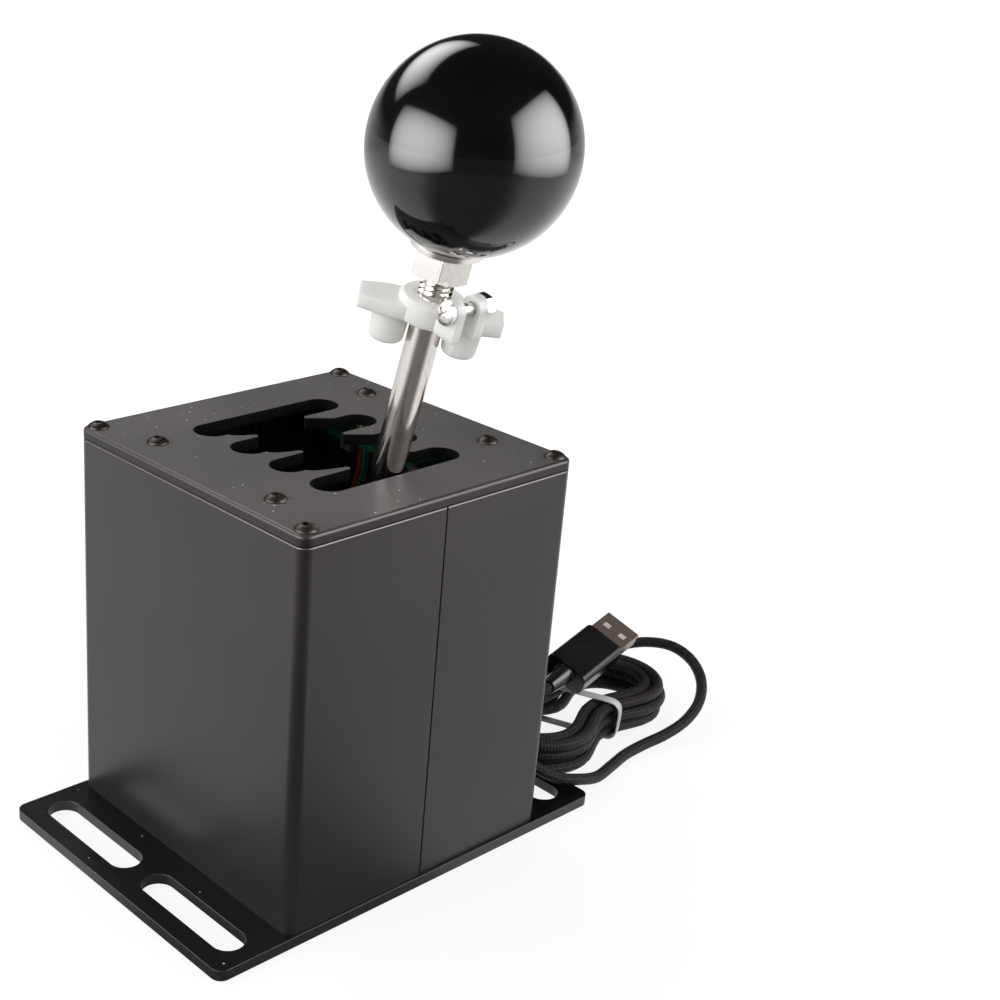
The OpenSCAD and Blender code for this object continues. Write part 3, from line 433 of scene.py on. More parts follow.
# Shader nodes and groups


def feed(tree, socket, value):
    """Links a socket to another one, or sets its own value."""
    if isinstance(value, bpy.types.NodeSocket):
        tree.links.new(value, socket)
    else:
        socket.default_value = value


def tune(tree, made, **inputs):
    """Feeds a node's inputs by their names, with _ for each space."""
    for key, value in inputs.items():
        feed(tree, made.inputs[key.replace("_", " ")], value)


def node(tree, kind, settings=None, **inputs):
    """A shader node with its settings, its inputs set or linked by name."""
    made = tree.nodes.new("ShaderNode" + kind)
    for key, value in (settings or {}).items():
        setattr(made, key, value)
    tune(tree, made, **inputs)
    return made


def math_node(tree, operation, *values):
    made = node(tree, "Math", {"operation": operation})
    for socket, value in zip(made.inputs, values):
        feed(tree, socket, value)
    return made.outputs[0]


def vector_math(tree, operation, *vectors):
    made = node(tree, "VectorMath", {"operation": operation})
    for socket, vector in zip(made.inputs, vectors):
        feed(tree, socket, vector)
    return made.outputs["Vector" if operation == "NORMALIZE" else "Value"]


def span(tree, value, low, high, start=0.0, end=1.0, soft=False):
    """Maps a value that runs from start to end onto low to high, in a soft step where asked."""
    made = node(tree, "MapRange", {"interpolation_type": "SMOOTHSTEP" if soft else "LINEAR"},
                Value=value, From_Min=start, From_Max=end, To_Min=low, To_Max=high)
    return made.outputs["Result"]


def new_group(name, inputs, outputs):
    """A shader group with its inner ends: an input with a number is a float, one without a vector."""
    group = bpy.data.node_groups.new(name, "ShaderNodeTree")
    for key, default in inputs.items():
        kind = "NodeSocketVector" if default is None else "NodeSocketFloat"
        socket = group.interface.new_socket(key, in_out="INPUT", socket_type=kind)
        if default is not None:
            socket.default_value = default
    for key in outputs:
        group.interface.new_socket(key, in_out="OUTPUT", socket_type="NodeSocketFloat")
    return group, group.nodes.new("NodeGroupInput").outputs, group.nodes.new("NodeGroupOutput").inputs


def grain_group():
    """Fine surface grain with a slow change of tone over it."""
    group, into, out = new_group(
        "surface_grain", {"Vector": None, "Fine Scale": 2500.0, "Tone Scale": 30.0}, ("Height", "Tone"))
    fine = node(group, "TexNoise", Vector=into["Vector"], Scale=into["Fine Scale"],
                Detail=3.0, Roughness=0.6)
    slow = node(group, "TexNoise", Vector=into["Vector"], Scale=into["Tone Scale"],
                Detail=4.0, Roughness=0.55)
    feed(group, out["Height"], fine.outputs["Fac"])
    feed(group, out["Tone"], span(group, slow.outputs["Fac"], 0.0, 1.0, 0.3, 0.7))
    return group


def dust_group():
    """Scattered pale specks of dust: a few cells of a fine pattern hold one small dot each."""
    group, into, out = new_group(
        "dust_specks", {"Vector": None, "Scale": 300.0, "Size": 0.06, "Share": 0.06}, ("Mask",))
    cells = node(group, "TexVoronoi", {"feature": "F1", "voronoi_dimensions": "2D"},
                 Vector=into["Vector"], Scale=into["Scale"])
    pick = node(group, "SeparateColor", Color=cells.outputs["Color"])
    chosen = math_node(group, "LESS_THAN", pick.outputs["Red"], into["Share"])
    reach = math_node(group, "MULTIPLY", into["Size"], pick.outputs["Green"])
    near = math_node(group, "LESS_THAN", cells.outputs["Distance"], reach)
    feed(group, out["Mask"], math_node(group, "MULTIPLY", chosen, near))
    return group


def brushed_group():
    """Fine lines along a piece: noise that the material's mapping stretches."""
    group, into, out = new_group("brushed_lines", {"Vector": None, "Scale": 900.0}, ("Height", "Tone"))
    lines = node(group, "TexNoise", Vector=into["Vector"], Scale=into["Scale"], Detail=4.0, Roughness=0.7)
    feed(group, out["Height"], lines.outputs["Fac"])
    feed(group, out["Tone"], span(group, lines.outputs["Fac"], 0.0, 1.0, 0.35, 0.65))
    return group


def rub_group():
    """Broken-up rubbing marks, for worn edges."""
    group, into, out = new_group("rub_marks", {"Vector": None, "Scale": 160.0, "Cover": 0.5}, ("Mask",))
    noise = node(group, "TexNoise", Vector=into["Vector"], Scale=into["Scale"], Detail=6.0, Roughness=0.7)
    low = math_node(group, "SUBTRACT", 0.78, math_node(group, "MULTIPLY", into["Cover"], 0.5))
    high = math_node(group, "ADD", low, 0.16)
    feed(group, out["Mask"], span(group, noise.outputs["Fac"], 0.0, 1.0, low, high))
    return group


def braid_group():
    """Braided sleeve on a cord's own UV map: two sets of crossing strands, over and under each other."""
    group, into, out = new_group("braided_sleeve", {"UV": None, "Strands": 12.0}, ("Height", "Strand"))
    split = node(group, "SeparateXYZ", Vector=into["UV"])
    waves = []
    for operation in ("ADD", "SUBTRACT"):
        slant = math_node(group, operation, split.outputs["X"], split.outputs["Y"])
        turns = math_node(group, "MULTIPLY", slant, into["Strands"])
        waves.append(math_node(group, "SINE", math_node(group, "MULTIPLY", turns, 2 * math.pi)))
    product = math_node(group, "MULTIPLY", *waves)
    ridge = math_node(group, "ADD", *(math_node(group, "ABSOLUTE", wave) for wave in waves))
    height = math_node(group, "MULTIPLY_ADD", product, 0.6, math_node(group, "MULTIPLY", ridge, 0.4))
    feed(group, out["Height"], height)
    feed(group, out["Strand"], span(group, product, 0.0, 1.0, -0.6, 0.6))
    return group


# Materials


def start_material(name, rough, metallic, color):
    material = bpy.data.materials.new(name)
    material.use_nodes = True
    material.diffuse_color = (*color, 1.0)
    tree = material.node_tree
    bsdf = tree.nodes["Principled BSDF"]
    tune(tree, bsdf, Base_Color=(*color, 1.0), Roughness=rough, Metallic=metallic)
    FINISHES[name] = material
    return tree, bsdf


def use_group(tree, name, **inputs):
    return node(tree, "Group", {"node_tree": GROUPS[name]}, **inputs).outputs


def object_vector(tree, scale=(1, 1, 1), turn=(0, 0, 0)):
    place_on_piece = node(tree, "TexCoord").outputs["Object"]
    return node(tree, "Mapping", Vector=place_on_piece, Scale=scale, Rotation=turn).outputs["Vector"]


def mix_color(tree, mask, first, second):
    mix = node(tree, "Mix", {"data_type": "RGBA"}, Factor=mask)
    for socket, value in zip((s for s in mix.inputs if s.type == "RGBA"), (first, second)):
        feed(tree, socket, (*value, 1.0) if isinstance(value, tuple) else value)
    return next(s for s in mix.outputs if s.type == "RGBA")


def bump(tree, bsdf, height, strength, distance):
    made = node(tree, "Bump", Height=height, Strength=strength, Distance=distance)
    feed(tree, bsdf.inputs["Normal"], made.outputs["Normal"])


def scaled(color, factor):
    return tuple(factor * c for c in color)


def anodised(name, dark, light, rough, spread, specular=0.5, dust=None, rub=None):
    """Black anodised metal: a fine etched grain, slow changes of tone, and dust or rubbing where asked."""
    tree, bsdf = start_material(name, rough, 0.0, dark)
    vector = object_vector(tree)
    grain = use_group(tree, "surface_grain", Vector=vector, Fine_Scale=2600.0, Tone_Scale=25.0)
    color = mix_color(tree, grain["Tone"], dark, light)
    if rub is not None:
        cover, bare = rub
        marks = use_group(tree, "rub_marks", Vector=vector, Scale=220.0, Cover=cover)
        color = mix_color(tree, marks["Mask"], color, bare)
    if dust is not None:
        scale, size, share = dust
        specks = use_group(tree, "dust_specks", Vector=vector, Scale=scale, Size=size, Share=share)
        color = mix_color(tree, specks["Mask"], color, DUST_COLOR)
    tune(tree, bsdf, Base_Color=color, Roughness=span(tree, grain["Tone"], rough - spread, rough + spread),
         Specular_IOR_Level=specular, Specular_Tint=ANODISED_TINT)
    bump(tree, bsdf, grain["Height"], 0.25, 0.04 * MM)


def metal(name, color, tint, rough, spread, lines=900.0, depth=0.12, scale=(1, 1, 1), turn=(0, 0, 0),
          metallic=1.0):
    """Bare or plated metal with fine lines; scale stretches the lines along the piece."""
    tree, bsdf = start_material(name, rough, metallic, color)
    brushed = use_group(tree, "brushed_lines", Vector=object_vector(tree, scale, turn), Scale=lines)
    tune(tree, bsdf, Base_Color=mix_color(tree, brushed["Tone"], color, tint),
         Roughness=span(tree, brushed["Tone"], rough - spread, rough + spread))
    bump(tree, bsdf, brushed["Height"], depth, 0.02 * MM)


def moulded(name, dark, light, rough, grain_scale=1800.0, depth=0.2, tone_scale=60.0, **shader):
    """Moulded plastic: a fine spark grain and a slight change of tone."""
    tree, bsdf = start_material(name, rough, 0.0, dark)
    grain = use_group(tree, "surface_grain", Vector=object_vector(tree), Fine_Scale=grain_scale,
                      Tone_Scale=tone_scale)
    tune(tree, bsdf, Base_Color=mix_color(tree, grain["Tone"], dark, light),
         Roughness=span(tree, grain["Tone"], rough - 0.06, rough + 0.06), **shader)
    bump(tree, bsdf, grain["Height"], depth, 0.03 * MM)


def board_material(name, mask_color, trace_color):
    """Circuit board: solder mask over a net of traces, with fine glass weave below."""
    tree, bsdf = start_material(name, 0.35, 0.0, mask_color)
    vector = object_vector(tree)
    traces = node(tree, "TexBrick", Vector=vector, Scale=320.0, Mortar_Size=0.05, Brick_Width=0.9,
                  Color1=(0, 0, 0, 1), Color2=(0, 0, 0, 1), Mortar=(1, 1, 1, 1)).outputs["Fac"]
    grain = use_group(tree, "surface_grain", Vector=vector, Fine_Scale=1500.0, Tone_Scale=90.0)
    color = mix_color(tree, traces, mask_color, trace_color)
    tune(tree, bsdf, Base_Color=mix_color(tree, grain["Tone"], color, mask_color),
         Roughness=span(tree, traces, 0.38, 0.28))
    bump(tree, bsdf, traces, 0.4, 0.03 * MM)


def braid_material(name, dark, light):
    tree, bsdf = start_material(name, 0.62, 0.0, dark)
    braid = use_group(tree, "braided_sleeve", UV=node(tree, "TexCoord").outputs["UV"], Strands=6.0)
    tune(tree, bsdf, Base_Color=mix_color(tree, braid["Strand"], dark, light),
         Roughness=span(tree, braid["Strand"], 0.6, 0.34), Specular_IOR_Level=0.22)
    bump(tree, bsdf, braid["Height"], 0.9, 0.25 * MM)


class ShifterColours(bpy.types.PropertyGroup):
    """Colours that a user would change"""

    shell: FloatVectorProperty(
        name="Housing", description="Anodised housing", subtype="COLOR", size=3, min=0, max=1,
        default=(0.017, 0.015, 0.0154),
    )
    gate: FloatVectorProperty(
        name="Gate plate", description="Anodised gate plate", subtype="COLOR", size=3, min=0, max=1,
        default=(0.072, 0.067, 0.0665),
    )
    knob: FloatVectorProperty(
        name="Knob", description="Gloss ball knob", subtype="COLOR", size=3, min=0, max=1,
        default=(0.0035, 0.0035, 0.0038),
    )
    nylon: FloatVectorProperty(
        name="Clamp", description="Milky nylon of the clamp", subtype="COLOR", size=3, min=0, max=1,
        default=(0.88, 0.89, 0.85),
    )
    braid: FloatVectorProperty(
        name="Braid", description="Braided sleeve of the lead", subtype="COLOR", size=3, min=0, max=1,
        default=(0.0024, 0.0018, 0.0016),
    )


class ShifterSizes(bpy.types.PropertyGroup):
    """Small sizes of the finish"""

    plate_edge: FloatProperty(
        name="Plate edge", description="Rounding of the plates' edges", subtype="DISTANCE", unit="LENGTH",
        default=0.9 * MM, min=0.05 * MM, max=1.2 * MM,
    )
    shell_edge: FloatProperty(
        name="Shell edge", description="Rounding of the shells' edges", subtype="DISTANCE", unit="LENGTH",
        default=0.18 * MM, min=0.05 * MM, max=0.6 * MM,
    )
    thread_pitch: FloatProperty(
        name="Thread pitch", description="Pitch of the rod's thread", subtype="DISTANCE", unit="LENGTH",
        default=1.25 * MM, min=0.5 * MM, max=2 * MM,
    )
    cord_sides: IntProperty(
        name="Cord sides", description="Faces round the lead", default=14, min=8, max=32,
    )


def colours():
    return bpy.context.scene.shifter_colours


def sizes():
    return bpy.context.scene.shifter_sizes


class SHIFTER_OT_finishes(bpy.types.Operator):
    """Makes the shader groups and every material"""

    bl_idname = "shifter.finishes"
    bl_label = "Finishes"

    def execute(self, context):
        GROUPS.update(
            surface_grain=grain_group(), dust_specks=dust_group(), brushed_lines=brushed_group(),
            rub_marks=rub_group(), braided_sleeve=braid_group(),
        )
        self.blacks()
        self.metals()
        self.plastics()
        braid = tuple(colours().braid)
        braid_material("braided_black", braid, scaled(braid, 6.0))
        board_material("green_board", (0.005, 0.04, 0.016), (0.012, 0.085, 0.034))
        return {"FINISHED"}

    def blacks(self):
        shell, gate = tuple(colours().shell), tuple(colours().gate)
        anodised("shell_black", shell, scaled(shell, 1.2), 0.32, 0.04, specular=0.38)
        # Partly painted highlight: the shells' top rounding is lighter and shinier than the shells; the rub
        # marks on it are wear
        anodised("shell_edge", (0.06, 0.055, 0.054), (0.08, 0.074, 0.072), 0.34, 0.05, specular=0.8,
                 rub=(0.3, (0.16, 0.15, 0.145)))
        anodised("gate_black", gate, scaled(gate, 1.3), 0.5, 0.05, specular=0.14, dust=(420.0, 0.11, 0.1))
        # Painted shade: the slot walls and the plate's lower rounding get a near-black copy of the plate's
        # finish
        anodised("slot_walls_painted_shade", (0.003, 0.0028, 0.0028), (0.005, 0.0045, 0.0045), 0.5, 0.05, specular=0.04)
        # Painted shade: the gate plate's outer sides get a darker copy of its black
        anodised("gate_side_painted_shade", (0.012, 0.011, 0.011), (0.017, 0.0155, 0.0155), 0.42, 0.05, specular=0.25)
        # Partly painted shade: the gate plate's top rounding is darker than its top; the rub marks on it are
        # wear
        anodised("gate_edge_worn_painted_shade", (0.03, 0.028, 0.0275), (0.042, 0.039, 0.038), 0.38, 0.05, specular=0.4,
                 rub=(0.25, (0.1, 0.095, 0.09)))
        # Partly painted shade: the base plate is black, and its top is made darker still for the shade of the
        # housing over it
        anodised("base_black_painted_shade", (0.003, 0.0028, 0.0029), (0.005, 0.0046, 0.0047), 0.28, 0.04, specular=0.25,
                 dust=(300.0, 0.08, 0.05))
        # Painted light: the base plate's upright faces and slot walls get a lighter copy of its black
        anodised("base_side", (0.014, 0.0125, 0.0128), (0.02, 0.018, 0.0185), 0.4, 0.05, specular=0.4)
        # Partly painted highlight: the base plate's roundings are lighter than its top; the rub marks on them
        # are wear
        anodised("base_edge_worn_painted_highlight", (0.03, 0.028, 0.028), (0.05, 0.047, 0.046), 0.36, 0.05,
                 rub=(0.3, (0.15, 0.145, 0.14)))

    def metals(self):
        metal("bronze_black_screw", (0.05, 0.044, 0.04), (0.07, 0.062, 0.057), 0.4, 0.06, lines=700.0)
        metal("stainless_rod", (0.74, 0.70, 0.67), (0.64, 0.60, 0.57), 0.14, 0.04, lines=1600.0, depth=0.1,
              scale=(1.0, 1.0, 0.02), turn=(0, -LEAN, 0))
        metal("bright_nickel", (0.82, 0.79, 0.76), (0.74, 0.71, 0.68), 0.14, 0.04, depth=0.05)
        metal("satin_nickel", (0.72, 0.69, 0.66), (0.64, 0.61, 0.58), 0.3, 0.05, depth=0.05)
        metal("milled_alloy", (0.62, 0.63, 0.65), (0.52, 0.53, 0.55), 0.34, 0.06, scale=(0.2, 1, 1))
        metal("zinc_plate", (0.68, 0.69, 0.70), (0.6, 0.6, 0.62), 0.3, 0.05, lines=600.0)
        metal("sintered_bronze", (0.55, 0.36, 0.17), (0.45, 0.29, 0.13), 0.4, 0.06, lines=1500.0)
        metal("turned_brass", (0.78, 0.58, 0.28), (0.68, 0.5, 0.24), 0.26, 0.05)
        metal("magnet_nickel", (0.55, 0.55, 0.56), (0.47, 0.47, 0.48), 0.28, 0.05, lines=400.0)
        metal("plug_nickel", (0.22, 0.17, 0.143), (0.185, 0.142, 0.12), 0.36, 0.04, lines=2500.0, depth=0.02,
              metallic=0.6)

    def plastics(self):
        knob, nylon = tuple(colours().knob), tuple(colours().nylon)
        moulded("gloss_black_knob", knob, (0.006, 0.006, 0.0065), 0.12, 700.0, 0.01,
                Specular_IOR_Level=0.1, Coat_Weight=1.0, Coat_Roughness=0.06)
        moulded("milky_nylon", nylon, scaled(nylon, 0.93), 0.38, 900.0, 0.1, 120.0,
                Subsurface_Weight=0.85, Subsurface_Radius=(1.0, 0.95, 0.8), Subsurface_Scale=4 * MM)
        moulded("black_moulding", (0.013, 0.013, 0.0135), (0.02, 0.02, 0.021), 0.5)
        moulded("gloss_overmould", (0.007, 0.007, 0.0075), (0.011, 0.011, 0.0115), 0.24, 900.0, 0.08)
        moulded("black_chip", (0.012, 0.012, 0.0125), (0.022, 0.022, 0.023), 0.55)
        moulded("red_wire", (0.3, 0.014, 0.011), (0.24, 0.01, 0.009), 0.35)
        moulded("green_wire", (0.008, 0.12, 0.047), (0.007, 0.09, 0.036), 0.35)
        moulded("black_wire", (0.015, 0.015, 0.016), (0.022, 0.022, 0.023), 0.4)
        moulded("grey_tie", (0.66, 0.65, 0.69), (0.56, 0.55, 0.6), 0.42, 600.0, 0.25,
                Subsurface_Weight=0.2, Subsurface_Radius=(1.0, 1.0, 1.0), Subsurface_Scale=1 * MM)
        # Painted light: the pale tongue glows a little, so that the plug's windows look white
        moulded("pale_tongue_painted_glow", (0.95, 0.94, 0.92), (0.9, 0.89, 0.87), 0.4,
                Emission_Color=(1.0, 0.97, 0.94, 1.0), Emission_Strength=0.3)


def rays(tree):
    """Whether a ray comes straight from the camera, and whether it is mirrored or passes through glass."""
    path = node(tree, "LightPath").outputs
    mirrored = math_node(tree, "MAXIMUM", path["Is Glossy Ray"], path["Is Transmission Ray"])
    return path["Is Camera Ray"], mirrored


class SHIFTER_OT_stage(bpy.types.Operator):
    """Camera, floor and soft studio light"""

    bl_idname = "shifter.stage"
    bl_label = "Stage"

    def execute(self, context):
        scene = context.scene
        scene.view_settings.view_transform = "Standard"
        self.camera(scene)
        self.floor()
        self.world(scene)
        for panel in PANELS:
            self.softbox(*panel)
        return {"FINISHED"}

    def camera(self, scene):
        data = bpy.data.cameras.new("camera")
        data.sensor_width = SENSOR_MM
        data.lens = FOCAL_PX * SENSOR_MM / IMAGE_PX
        data.shift_x = (IMAGE_PX / 2 - PRINCIPAL_PX[0]) / IMAGE_PX
        data.shift_y = (PRINCIPAL_PX[1] - IMAGE_PX / 2) / IMAGE_PX
        data.clip_start = 10 * MM
        camera = bpy.data.objects.new("camera", data)
        turn = Matrix((CAMERA_RIGHT, CAMERA_UP, CAMERA_BACK)).transposed()
        camera.matrix_world = Matrix.Translation(CAMERA_AT) @ turn.to_4x4()
        scene.collection.objects.link(camera)
        scene.camera = camera

    def floor(self):
        """White to the camera and in reflections away from the object, and shaded near it."""
        deselect()
        bpy.ops.mesh.primitive_plane_add(size=FLOOR_W, location=(0, 0, -FLOOR_DROP))
        floor = bpy.context.object
        floor.name = "floor"
        tree, bsdf = start_material("pale_floor", 0.9, 0.0, FLOOR_COLOR)
        spot = object_vector(tree)
        camera_ray, mirrored = rays(tree)
        white = span(tree, vector_math(tree, "LENGTH", spot), *FLOOR_SEEN, soft=True)
        seen = math_node(tree, "MULTIPLY", camera_ray, white)
        bearing = vector_math(tree, "DOT_PRODUCT", vector_math(tree, "NORMALIZE", spot), BEHIND)
        sweep = span(tree, bearing, *FLOOR_BEARING, soft=True)
        far = span(tree, vector_math(tree, "DOT_PRODUCT", spot, BEHIND), *FLOOR_BEHIND)
        glow = math_node(tree, "MULTIPLY_ADD", mirrored, math_node(tree, "MULTIPLY", sweep, far), seen)
        tune(tree, bsdf, Specular_IOR_Level=0.1, Emission_Color=(1, 1, 1, 1), Emission_Strength=glow)
        floor.data.materials.append(FINISHES["pale_floor"])

    def world(self, scene):
        """White to the camera; reflections see it white behind the object and dark on the near side."""
        world = bpy.data.worlds.new("studio")
        world.use_nodes = True
        tree = world.node_tree
        camera_ray, mirrored = rays(tree)
        way = node(tree, "TexCoord").outputs["Generated"]
        sweep = span(tree, vector_math(tree, "DOT_PRODUCT", way, BEHIND), *SKY_BEARING, soft=True)
        height = node(tree, "SeparateXYZ", Vector=way).outputs["Z"]
        backdrop = math_node(tree, "MULTIPLY", sweep, span(tree, height, *SKY_HEIGHT, soft=True))
        plain = math_node(tree, "MULTIPLY", math_node(tree, "SUBTRACT", 1.0, mirrored), SKY_LEVEL)
        unseen = math_node(tree, "MULTIPLY_ADD", mirrored, backdrop, plain)
        tune(tree, tree.nodes["Background"], Color=(1, 1, 1, 1),
             Strength=math_node(tree, "MAXIMUM", camera_ray, unseen))
        scene.world = world

    def softbox(self, name, at, aim, width, height, power, glint):
        """A panel of light, which reflections see as a card that is brightest in its middle."""
        data = bpy.data.lights.new(name, "AREA")
        data.shape = "RECTANGLE"
        data.size, data.size_y = width, height
        data.energy = power
        lamp = bpy.data.objects.new(name, data)
        turn = (Vector(aim) - Vector(at)).to_track_quat("-Z", "Y").to_matrix()
        lamp.matrix_world = Matrix.Translation(at) @ turn.to_4x4()
        lamp.visible_glossy = False
        bpy.context.scene.collection.objects.link(lamp)

        deselect()
        bpy.ops.mesh.primitive_plane_add(size=1.0)
        card = bpy.context.object
        card.name = name + " card"
        card.data.transform(lamp.matrix_world @ Matrix.Diagonal((width, height, 1.0, 1.0)))
        for kind in ("camera", "diffuse", "transmission", "volume_scatter", "shadow"):
            setattr(card, "visible_" + kind, False)
        card.data.materials.append(self.card_material(name + " card", glint))

    def card_material(self, name, glint):
        material = bpy.data.materials.new(name)
        material.use_nodes = True
        material.cycles.emission_sampling = "NONE"
        tree = material.node_tree
        tree.nodes.remove(tree.nodes["Principled BSDF"])
        across = node(tree, "SeparateXYZ", Vector=node(tree, "TexCoord").outputs["UV"])
        # In the middle each of the two fades is 4 ** -PANEL_FADE
        strength = 4 ** (2 * PANEL_FADE) * glint
        for axis in "XY":
            rest = math_node(tree, "SUBTRACT", 1.0, across.outputs[axis])
            hump = math_node(tree, "MULTIPLY", across.outputs[axis], rest)
            strength = math_node(tree, "MULTIPLY", math_node(tree, "POWER", hump, PANEL_FADE), strength)
        both = node(tree, "AddShader")
        shaders = node(tree, "Emission", Strength=strength), node(tree, "BsdfTransparent")
        for socket, shader in zip(both.inputs, shaders):
            tree.links.new(shader.outputs[0], socket)
        tree.links.new(both.outputs[0], tree.nodes["Material Output"].inputs["Surface"])
        return material


# The lead


def hank_radius(turn):
    """Radius of the folds after some turns: in one layer it grows outwards, in the next inwards."""
    t = turn - RUN_SHARE / 2
    layer = min(max(math.floor(t / LOOPS_PER_LAYER), 0), HANK_LAYERS - 1)
    u = t / LOOPS_PER_LAYER - layer
    return HANK_OUTER_R - 2 * HANK_STEP * (1 - u if layer % 2 == 0 else u)


def hank_level(turn):
    """Layer that the cord lies in after some turns: the top one first, with a soft step to each next."""
    layer = min(math.floor(turn / LOOPS_PER_LAYER), HANK_LAYERS - 1)
    s = min(max((turn - layer * LOOPS_PER_LAYER) / RUN_SHARE, 0), 1)
    return HANK_LAYERS - 1 - (0 if layer == 0 else layer - 1 + s * s * (3 - 2 * s))


def hank_point(turn):
    """Point of the hank after some turns: runs drawn in at the waist, round folds at both ends."""
    r = hank_radius(turn)
    s = turn - math.floor(turn)
    back = s >= 0.5
    w = s - 0.5 if back else s
    if w <= RUN_SHARE:
        q = w / RUN_SHARE
        x = -(r - HANK_WAIST * math.sin(math.pi * q) ** 2)
        y = HANK_RUN * (2 * q - 1)
    else:
        q = (w - RUN_SHARE) / (0.5 - RUN_SHARE)
        x = -r * math.cos(math.pi * q)
        y = HANK_RUN + r * math.sin(math.pi * q)
    if back:
        x, y = -x, -y
    here = HANK_AT + Matrix.Rotation(HANK_YAW, 3, "Z") @ Vector((x, y, 0.0))
    base = CORD_R + HANK_FLOOR + HANK_SLOPE * (HANK_FAR - here.y)
    return here + Vector((0.0, 0.0, base + HANK_LAYER_H * hank_level(turn)))


def through(points, steps, before=None, after=None):
    """Smooth points through a route, without its last point."""
    ends = [before or points[0], *points, after or points[-1]]
    out = []
    for i in range(1, len(ends) - 2):
        a, b, c, d = ends[i - 1 : i + 3]
        for k in range(steps):
            t = k / steps
            out.append(
                0.5 * (2 * b + (c - a) * t + (2 * a - 5 * b + 4 * c - d) * t * t
                       + (3 * b - a - 3 * c + d) * t * t * t)
            )
    return out


def plug_heading():
    level = math.cos(PLUG_PITCH)
    return Vector((-math.sin(PLUG_YAW) * level, math.cos(PLUG_YAW) * level, math.sin(PLUG_PITCH)))


def plug_matrix():
    """The plug's own frame, its length along Y, where the lead ends."""
    turn = Matrix.Rotation(PLUG_YAW, 4, "Z")
    for angle, axis in ((PLUG_PITCH, "X"), (PLUG_ROLL, "Y")):
        turn = turn @ Matrix.Rotation(angle, 4, axis)
    return Matrix.Translation(Vector(TAIL_ROUTE_MM[-1]) * MM) @ turn


def lead_path():
    """The whole lead: down onto the hank, round its turns, and the loose loop back to the plug."""
    start = hank_point(0.0)
    total = HANK_LAYERS * LOOPS_PER_LAYER + RUN_SHARE
    lead = [
        Vector((
            start.x + EXIT_SHIFT * (1 - across),
            RELIEF_END + (start.y - RELIEF_END) * along,
            EXIT_Z + (start.z - EXIT_Z) * down,
        ))
        for along, across, down in LEAD_ROUTE
    ]
    count = 60
    rings = round(total * count)
    hank = [hank_point(total * k / rings) for k in range(rings + 1)]
    tail = [hank[-1], *(Vector(p) * MM for p in TAIL_ROUTE_MM)]
    path = through(lead, 4, lead[0] - Vector((0, 4 * MM, 0)), hank[1])
    path += hank[:-1]
    path += through(tail, 6, hank[-4], tail[-1] + 7 * MM * plug_heading())
    path.append(tail[-1])
    return path


def tube(name, path, radius, sides, finish, first, last):
    """A closed tube along a path, with a UV map that runs round it and along it at one scale."""
    shape = bmesh.new()
    uv_layer = shape.loops.layers.uv.new("UVMap")
    rings, along = [], [0.0]
    up = Vector((0, 0, 1))
    for i, here in enumerate(path):
        direction = (path[min(i + 1, len(path) - 1)] - path[max(i - 1, 0)]).normalized()
        if i == 0:
            direction = first
        if i == len(path) - 1:
            direction = last
        side = direction.cross(up).normalized()
        top = side.cross(direction)
        rings.append([
            shape.verts.new(here + radius * (math.cos(2 * math.pi * k / sides) * side
                                             + math.sin(2 * math.pi * k / sides) * top))
            for k in range(sides)
        ])
        if i:
            along.append(along[-1] + (here - path[i - 1]).length)
    around = 2 * math.pi * radius
    for index, face in enumerate(skin(shape, rings)):
        i, k = divmod(index, sides)
        for loop, (u, v) in zip(face.loops, ((k, i), (k + 1, i), (k + 1, i + 1), (k, i + 1))):
            loop[uv_layer].uv = (u / sides, along[v] / around)
    shape.faces.new(rings[0][::-1])
    shape.faces.new(rings[-1])
    piece = shaped(name, shape, finish)
    smooth(piece, 60)
    return piece, along[-1]


def left_turn(a, b, c):
    """Positive where the way from a by b to c turns left."""
    return (b[0] - a[0]) * (c[1] - a[1]) - (b[1] - a[1]) * (c[0] - a[0])


def hull(dots):
    """Convex outline of points in a plane."""
    dots = sorted(set(dots))
    sides = []
    for row in (dots, dots[::-1]):
        side = []
        for dot in row:
            while len(side) > 1 and left_turn(*side[-2:], dot) <= 0:
                side.pop()
            side.append(dot)
        sides += side[:-1]
    return [Vector(dot) for dot in sides]


def even_points(outline, count):
    """Evenly spaced points round a closed outline."""
    closed = [*outline, outline[0]]
    lengths = [(b - a).length for a, b in zip(closed, closed[1:])]
    step, out, index, left = sum(lengths) / count, [], 0, 0.0
    for _ in range(count):
        while left > lengths[index] and index < len(lengths) - 1:
            left -= lengths[index]
            index += 1
        out.append(closed[index].lerp(closed[index + 1], left / lengths[index]))
        left += step
    return out


def band(name, loop, across, along, width, thickness, finish):
    """A tape round a closed loop, with soft edges, that overlaps itself for a sixth of the way."""
    shape = bmesh.new()
    count = len(loop)
    lap = count // 6
    rings = []
    for i in range(count + lap + 1):
        here = loop[i % count]
        way = (loop[(i + 1) % count] - loop[(i - 1) % count]).normalized()
        out = Vector((way.y, -way.x))
        # The lapped end climbs over the start within five steps
        rise = 1.15 * thickness * min(max((i - count + 5) / 5, 0.0), 1.0)
        lean = 0.35 * MM * math.sin(2 * math.pi * i / count)
        ring = []
        for side, high in ((-0.5, 0.15), (-0.46, 0.0), (0.46, 0.0), (0.5, 0.15), (0.5, 0.85), (0.46, 1.0),
                           (-0.46, 1.0), (-0.5, 0.85)):
            at = here + out * (rise + high * thickness)
            ring.append(shape.verts.new(
                HANK_AT + across * at.x + along * (side * width + lean) + Vector((0.0, 0.0, at.y))
            ))
        rings.append(ring)
    skin(shape, rings)
    shape.faces.new(rings[0])
    shape.faces.new(rings[-1])
    return shaped(name, shape, finish)


